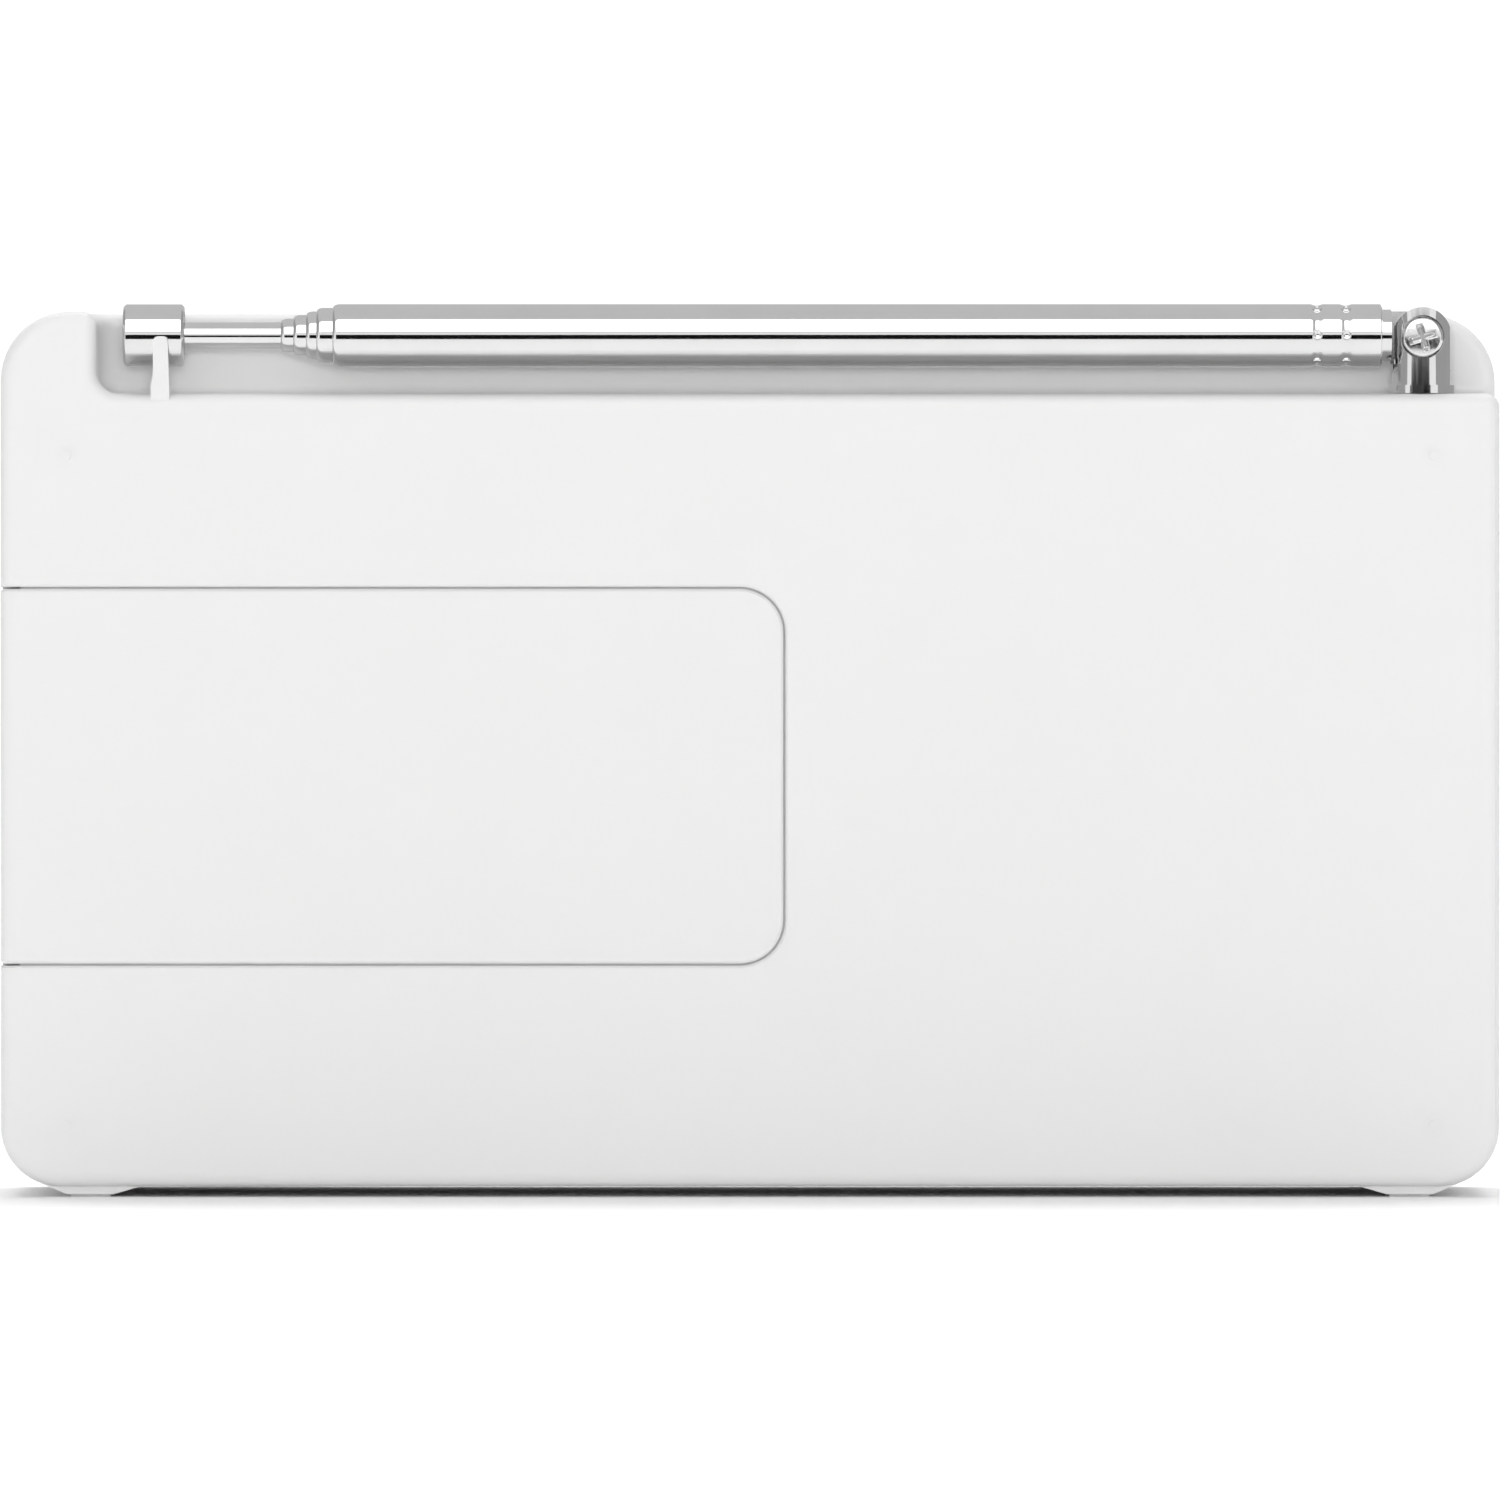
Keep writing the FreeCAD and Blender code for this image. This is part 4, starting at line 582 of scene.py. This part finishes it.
def pivot_screw(rings=44, around=120):
    """The tilt screw: a domed head with a cross recess, on a plain shank."""
    low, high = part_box("antenna_pivot_screw")
    centre = Vector(((low.x + high.x) / 2, 0, (low.z + high.z) / 2))
    radius = (high.z - low.z) / 2
    seat = high.y - HEAD_HIGH
    shape = bmesh.new()
    previous = [shape.verts.new(centre + Vector((0, high.y - CROSS_DEEP, 0)))]
    for step in range(1, rings + 1):
        share = step / rings
        heights = [high.y - face_drop(share, radius, 2 * math.pi * i / around) for i in range(around)]
        ring = screw_ring(shape, centre, radius * share, heights)
        join_rings(shape, previous, ring)
        previous = ring
    for reach, height in ((radius, seat), (SHANK_RADIUS, seat), (SHANK_RADIUS, low.y)):
        ring = screw_ring(shape, centre, reach, [height] * around)
        join_rings(shape, previous, ring)
        previous = ring
    shape.faces.new(previous)
    bmesh.ops.recalc_face_normals(shape, faces=shape.faces)
    piece = shape_to_piece(shape, "antenna_tilt_screw", screw_chrome, sharp=50)
    add_to("antenna_swivel", piece, "antenna_pivot_screw")


def bevel_node(name, width, segments=3, angle=35):
    """Ease a CAD node's hard edges without touching its mesh."""
    modifier = nodes[name].modifiers.new("eased", "BEVEL")
    modifier.width = width
    modifier.segments = segments
    modifier.limit_method = "ANGLE"
    modifier.angle_limit = math.radians(angle)
    modifier.use_clamp_overlap = True
    modifier.harden_normals = False


# ---------------------------------------------------------------- stage, lights and camera
FLOOR_REACH = 40.0

# The cards form an open box round the radio; the flag stands low between the camera and the radio.
CARD_REACH = 0.75
CARD_BACK = -0.9
CARD_FRONT = 0.50
CARD_TOP = 1.0
CARD_FOOT = 0.02
FLAG_HALF = 0.28
FLAG_Y = 0.40
FLAG_LOW = 0.001
FLAG_HIGH = 0.108
FLAG_TONE = 0.006
CEILING_TONE = 0.66
BACK_TONE = 0.62
SIDE_TONE = 0.42

# The surround's brightness at the horizon and overhead; it fades between these sines of elevation.
HORIZON_LIGHT = 1.08
HORIZON_TOP = 0.10
OVERHEAD_LIGHT = 0.62
OVERHEAD_FROM = 0.30

CAMERA_DISTANCE = 1.5
SENSOR_MM = 36.0


def add_floor():
    """A wide flat floor at the height that the radio stands on."""
    mesh = bpy.data.meshes.new("floor")
    reach = FLOOR_REACH
    corners = [(-reach, -reach, 0), (reach, -reach, 0), (reach, reach, 0), (-reach, reach, 0)]
    mesh.from_pydata(corners, [], [(0, 1, 2, 3)])
    mesh.materials.append(floor_paper("floor_paper"))
    floor = bpy.data.objects.new("floor", mesh)
    bpy.context.scene.collection.objects.link(floor)


def add_card(name, corners, tone):
    """A card that only mirror-like surfaces see."""
    mesh = bpy.data.meshes.new(name)
    mesh.from_pydata(corners, [], [(0, 1, 2, 3)])
    mesh.materials.append(glowing_card(name + "_card", tone))
    piece = bpy.data.objects.new(name + "_card", mesh)
    bpy.context.scene.collection.objects.link(piece)
    piece.visible_camera = False
    piece.visible_diffuse = False
    piece.visible_shadow = False
    piece.visible_transmission = False


def upright(x1, x2, y, low, high):
    """The corners of an upright rectangle across Y."""
    return [(x1, y, low), (x2, y, low), (x2, y, high), (x1, y, high)]


def add_cards():
    """What the plating reflects: a low black flag on the camera's side, and grey cards all round."""
    add_card("flag", upright(-FLAG_HALF, FLAG_HALF, FLAG_Y, FLAG_LOW, FLAG_HIGH), FLAG_TONE)
    add_card("back", upright(-CARD_REACH, CARD_REACH, CARD_BACK, CARD_FOOT, CARD_TOP), BACK_TONE)
    add_card("ceiling", [(-CARD_REACH, CARD_BACK, CARD_TOP), (CARD_REACH, CARD_BACK, CARD_TOP),
                         (CARD_REACH, CARD_FRONT, CARD_TOP), (-CARD_REACH, CARD_FRONT, CARD_TOP)],
             CEILING_TONE)
    for name, x in (("left", -CARD_REACH), ("right", CARD_REACH)):
        add_card(name, [(x, CARD_BACK, CARD_FOOT), (x, CARD_FRONT, CARD_FOOT), (x, CARD_FRONT, CARD_TOP),
                        (x, CARD_BACK, CARD_TOP)], SIDE_TONE)


def add_panel(name, place, target, wide, tall, radiance, mirrored):
    """A soft rectangular light; the mirrored ones are for the plating, the others for all else."""
    data = bpy.data.lights.new(name, "AREA")
    data.shape = "RECTANGLE"
    data.size = wide
    data.size_y = tall
    data.energy = radiance * math.pi * wide * tall
    light = bpy.data.objects.new(name, data)
    light.location = place
    light.rotation_euler = (Vector(target) - Vector(place)).to_track_quat("-Z", "Y").to_euler()
    light.visible_glossy = mirrored
    light.visible_diffuse = not mirrored
    light.visible_camera = False
    bpy.context.scene.collection.objects.link(light)


def add_world():
    """White at eye level, softer overhead."""
    world = bpy.data.worlds.new("studio")
    world.use_nodes = True
    tree = world.node_tree
    background = tree.nodes["Background"]
    direction = tree.nodes.new("ShaderNodeTexCoord")
    split = tree.nodes.new("ShaderNodeSeparateXYZ")
    fall = tree.nodes.new("ShaderNodeMapRange")
    fall.inputs["From Min"].default_value = HORIZON_TOP
    fall.inputs["From Max"].default_value = OVERHEAD_FROM
    fall.inputs["To Min"].default_value = HORIZON_LIGHT
    fall.inputs["To Max"].default_value = OVERHEAD_LIGHT
    tree.links.new(direction.outputs["Generated"], split.inputs["Vector"])
    tree.links.new(split.outputs["Z"], fall.inputs["Value"])
    tree.links.new(fall.outputs["Result"], background.inputs["Color"])
    bpy.context.scene.world = world


def add_camera():
    """The photograph's view: level, square to the rear face, the case as wide as the frame."""
    cover_low, cover_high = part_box("rear_cover")
    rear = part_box("battery_door")[1].y
    middle = (cad_box[0].z + cad_box[1].z) / 2
    data = bpy.data.cameras.new("camera")
    data.sensor_width = SENSOR_MM
    data.lens = SENSOR_MM * CAMERA_DISTANCE / (cover_high.x - cover_low.x)
    data.clip_end = 2 * FLOOR_REACH
    camera = bpy.data.objects.new("camera", data)
    camera.location = (0, rear + CAMERA_DISTANCE, middle)
    camera.rotation_euler = (math.radians(90), 0, math.radians(180))
    bpy.context.scene.collection.objects.link(camera)
    bpy.context.scene.camera = camera


def main():
    """Set the stage, dress the CAD nodes and add the antenna's finer pieces."""
    bpy.context.scene.view_settings.view_transform = "Standard"
    add_camera()
    add_floor()
    add_cards()
    add_world()
    add_panel("front_softbox", place=(0, 0.88, 0.755), target=(0, 0, 0.095), wide=1.5, tall=0.93,
              radiance=1.7, mirrored=True)
    add_panel("top_key", place=(0, -0.45, 1.20), target=(0, 0, 0), wide=1.0, tall=0.6,
              radiance=6.0, mirrored=False)
    add_panel("front_fill", place=(0, 1.60, 0.16), target=(0, 0, 0.06), wide=0.40, tall=0.30,
              radiance=20.0, mirrored=False)
    dress_nodes()
    outer_tube()
    dimples()
    for step in range(2, TUBE_COUNT + 1):
        inner_tube(step)
    inner_rod()
    tip_knob()
    pivot_screw()
    bevel_node("antenna_base", FORK_EASE)
    bevel_node("antenna_knuckle", FORK_EASE)


main()
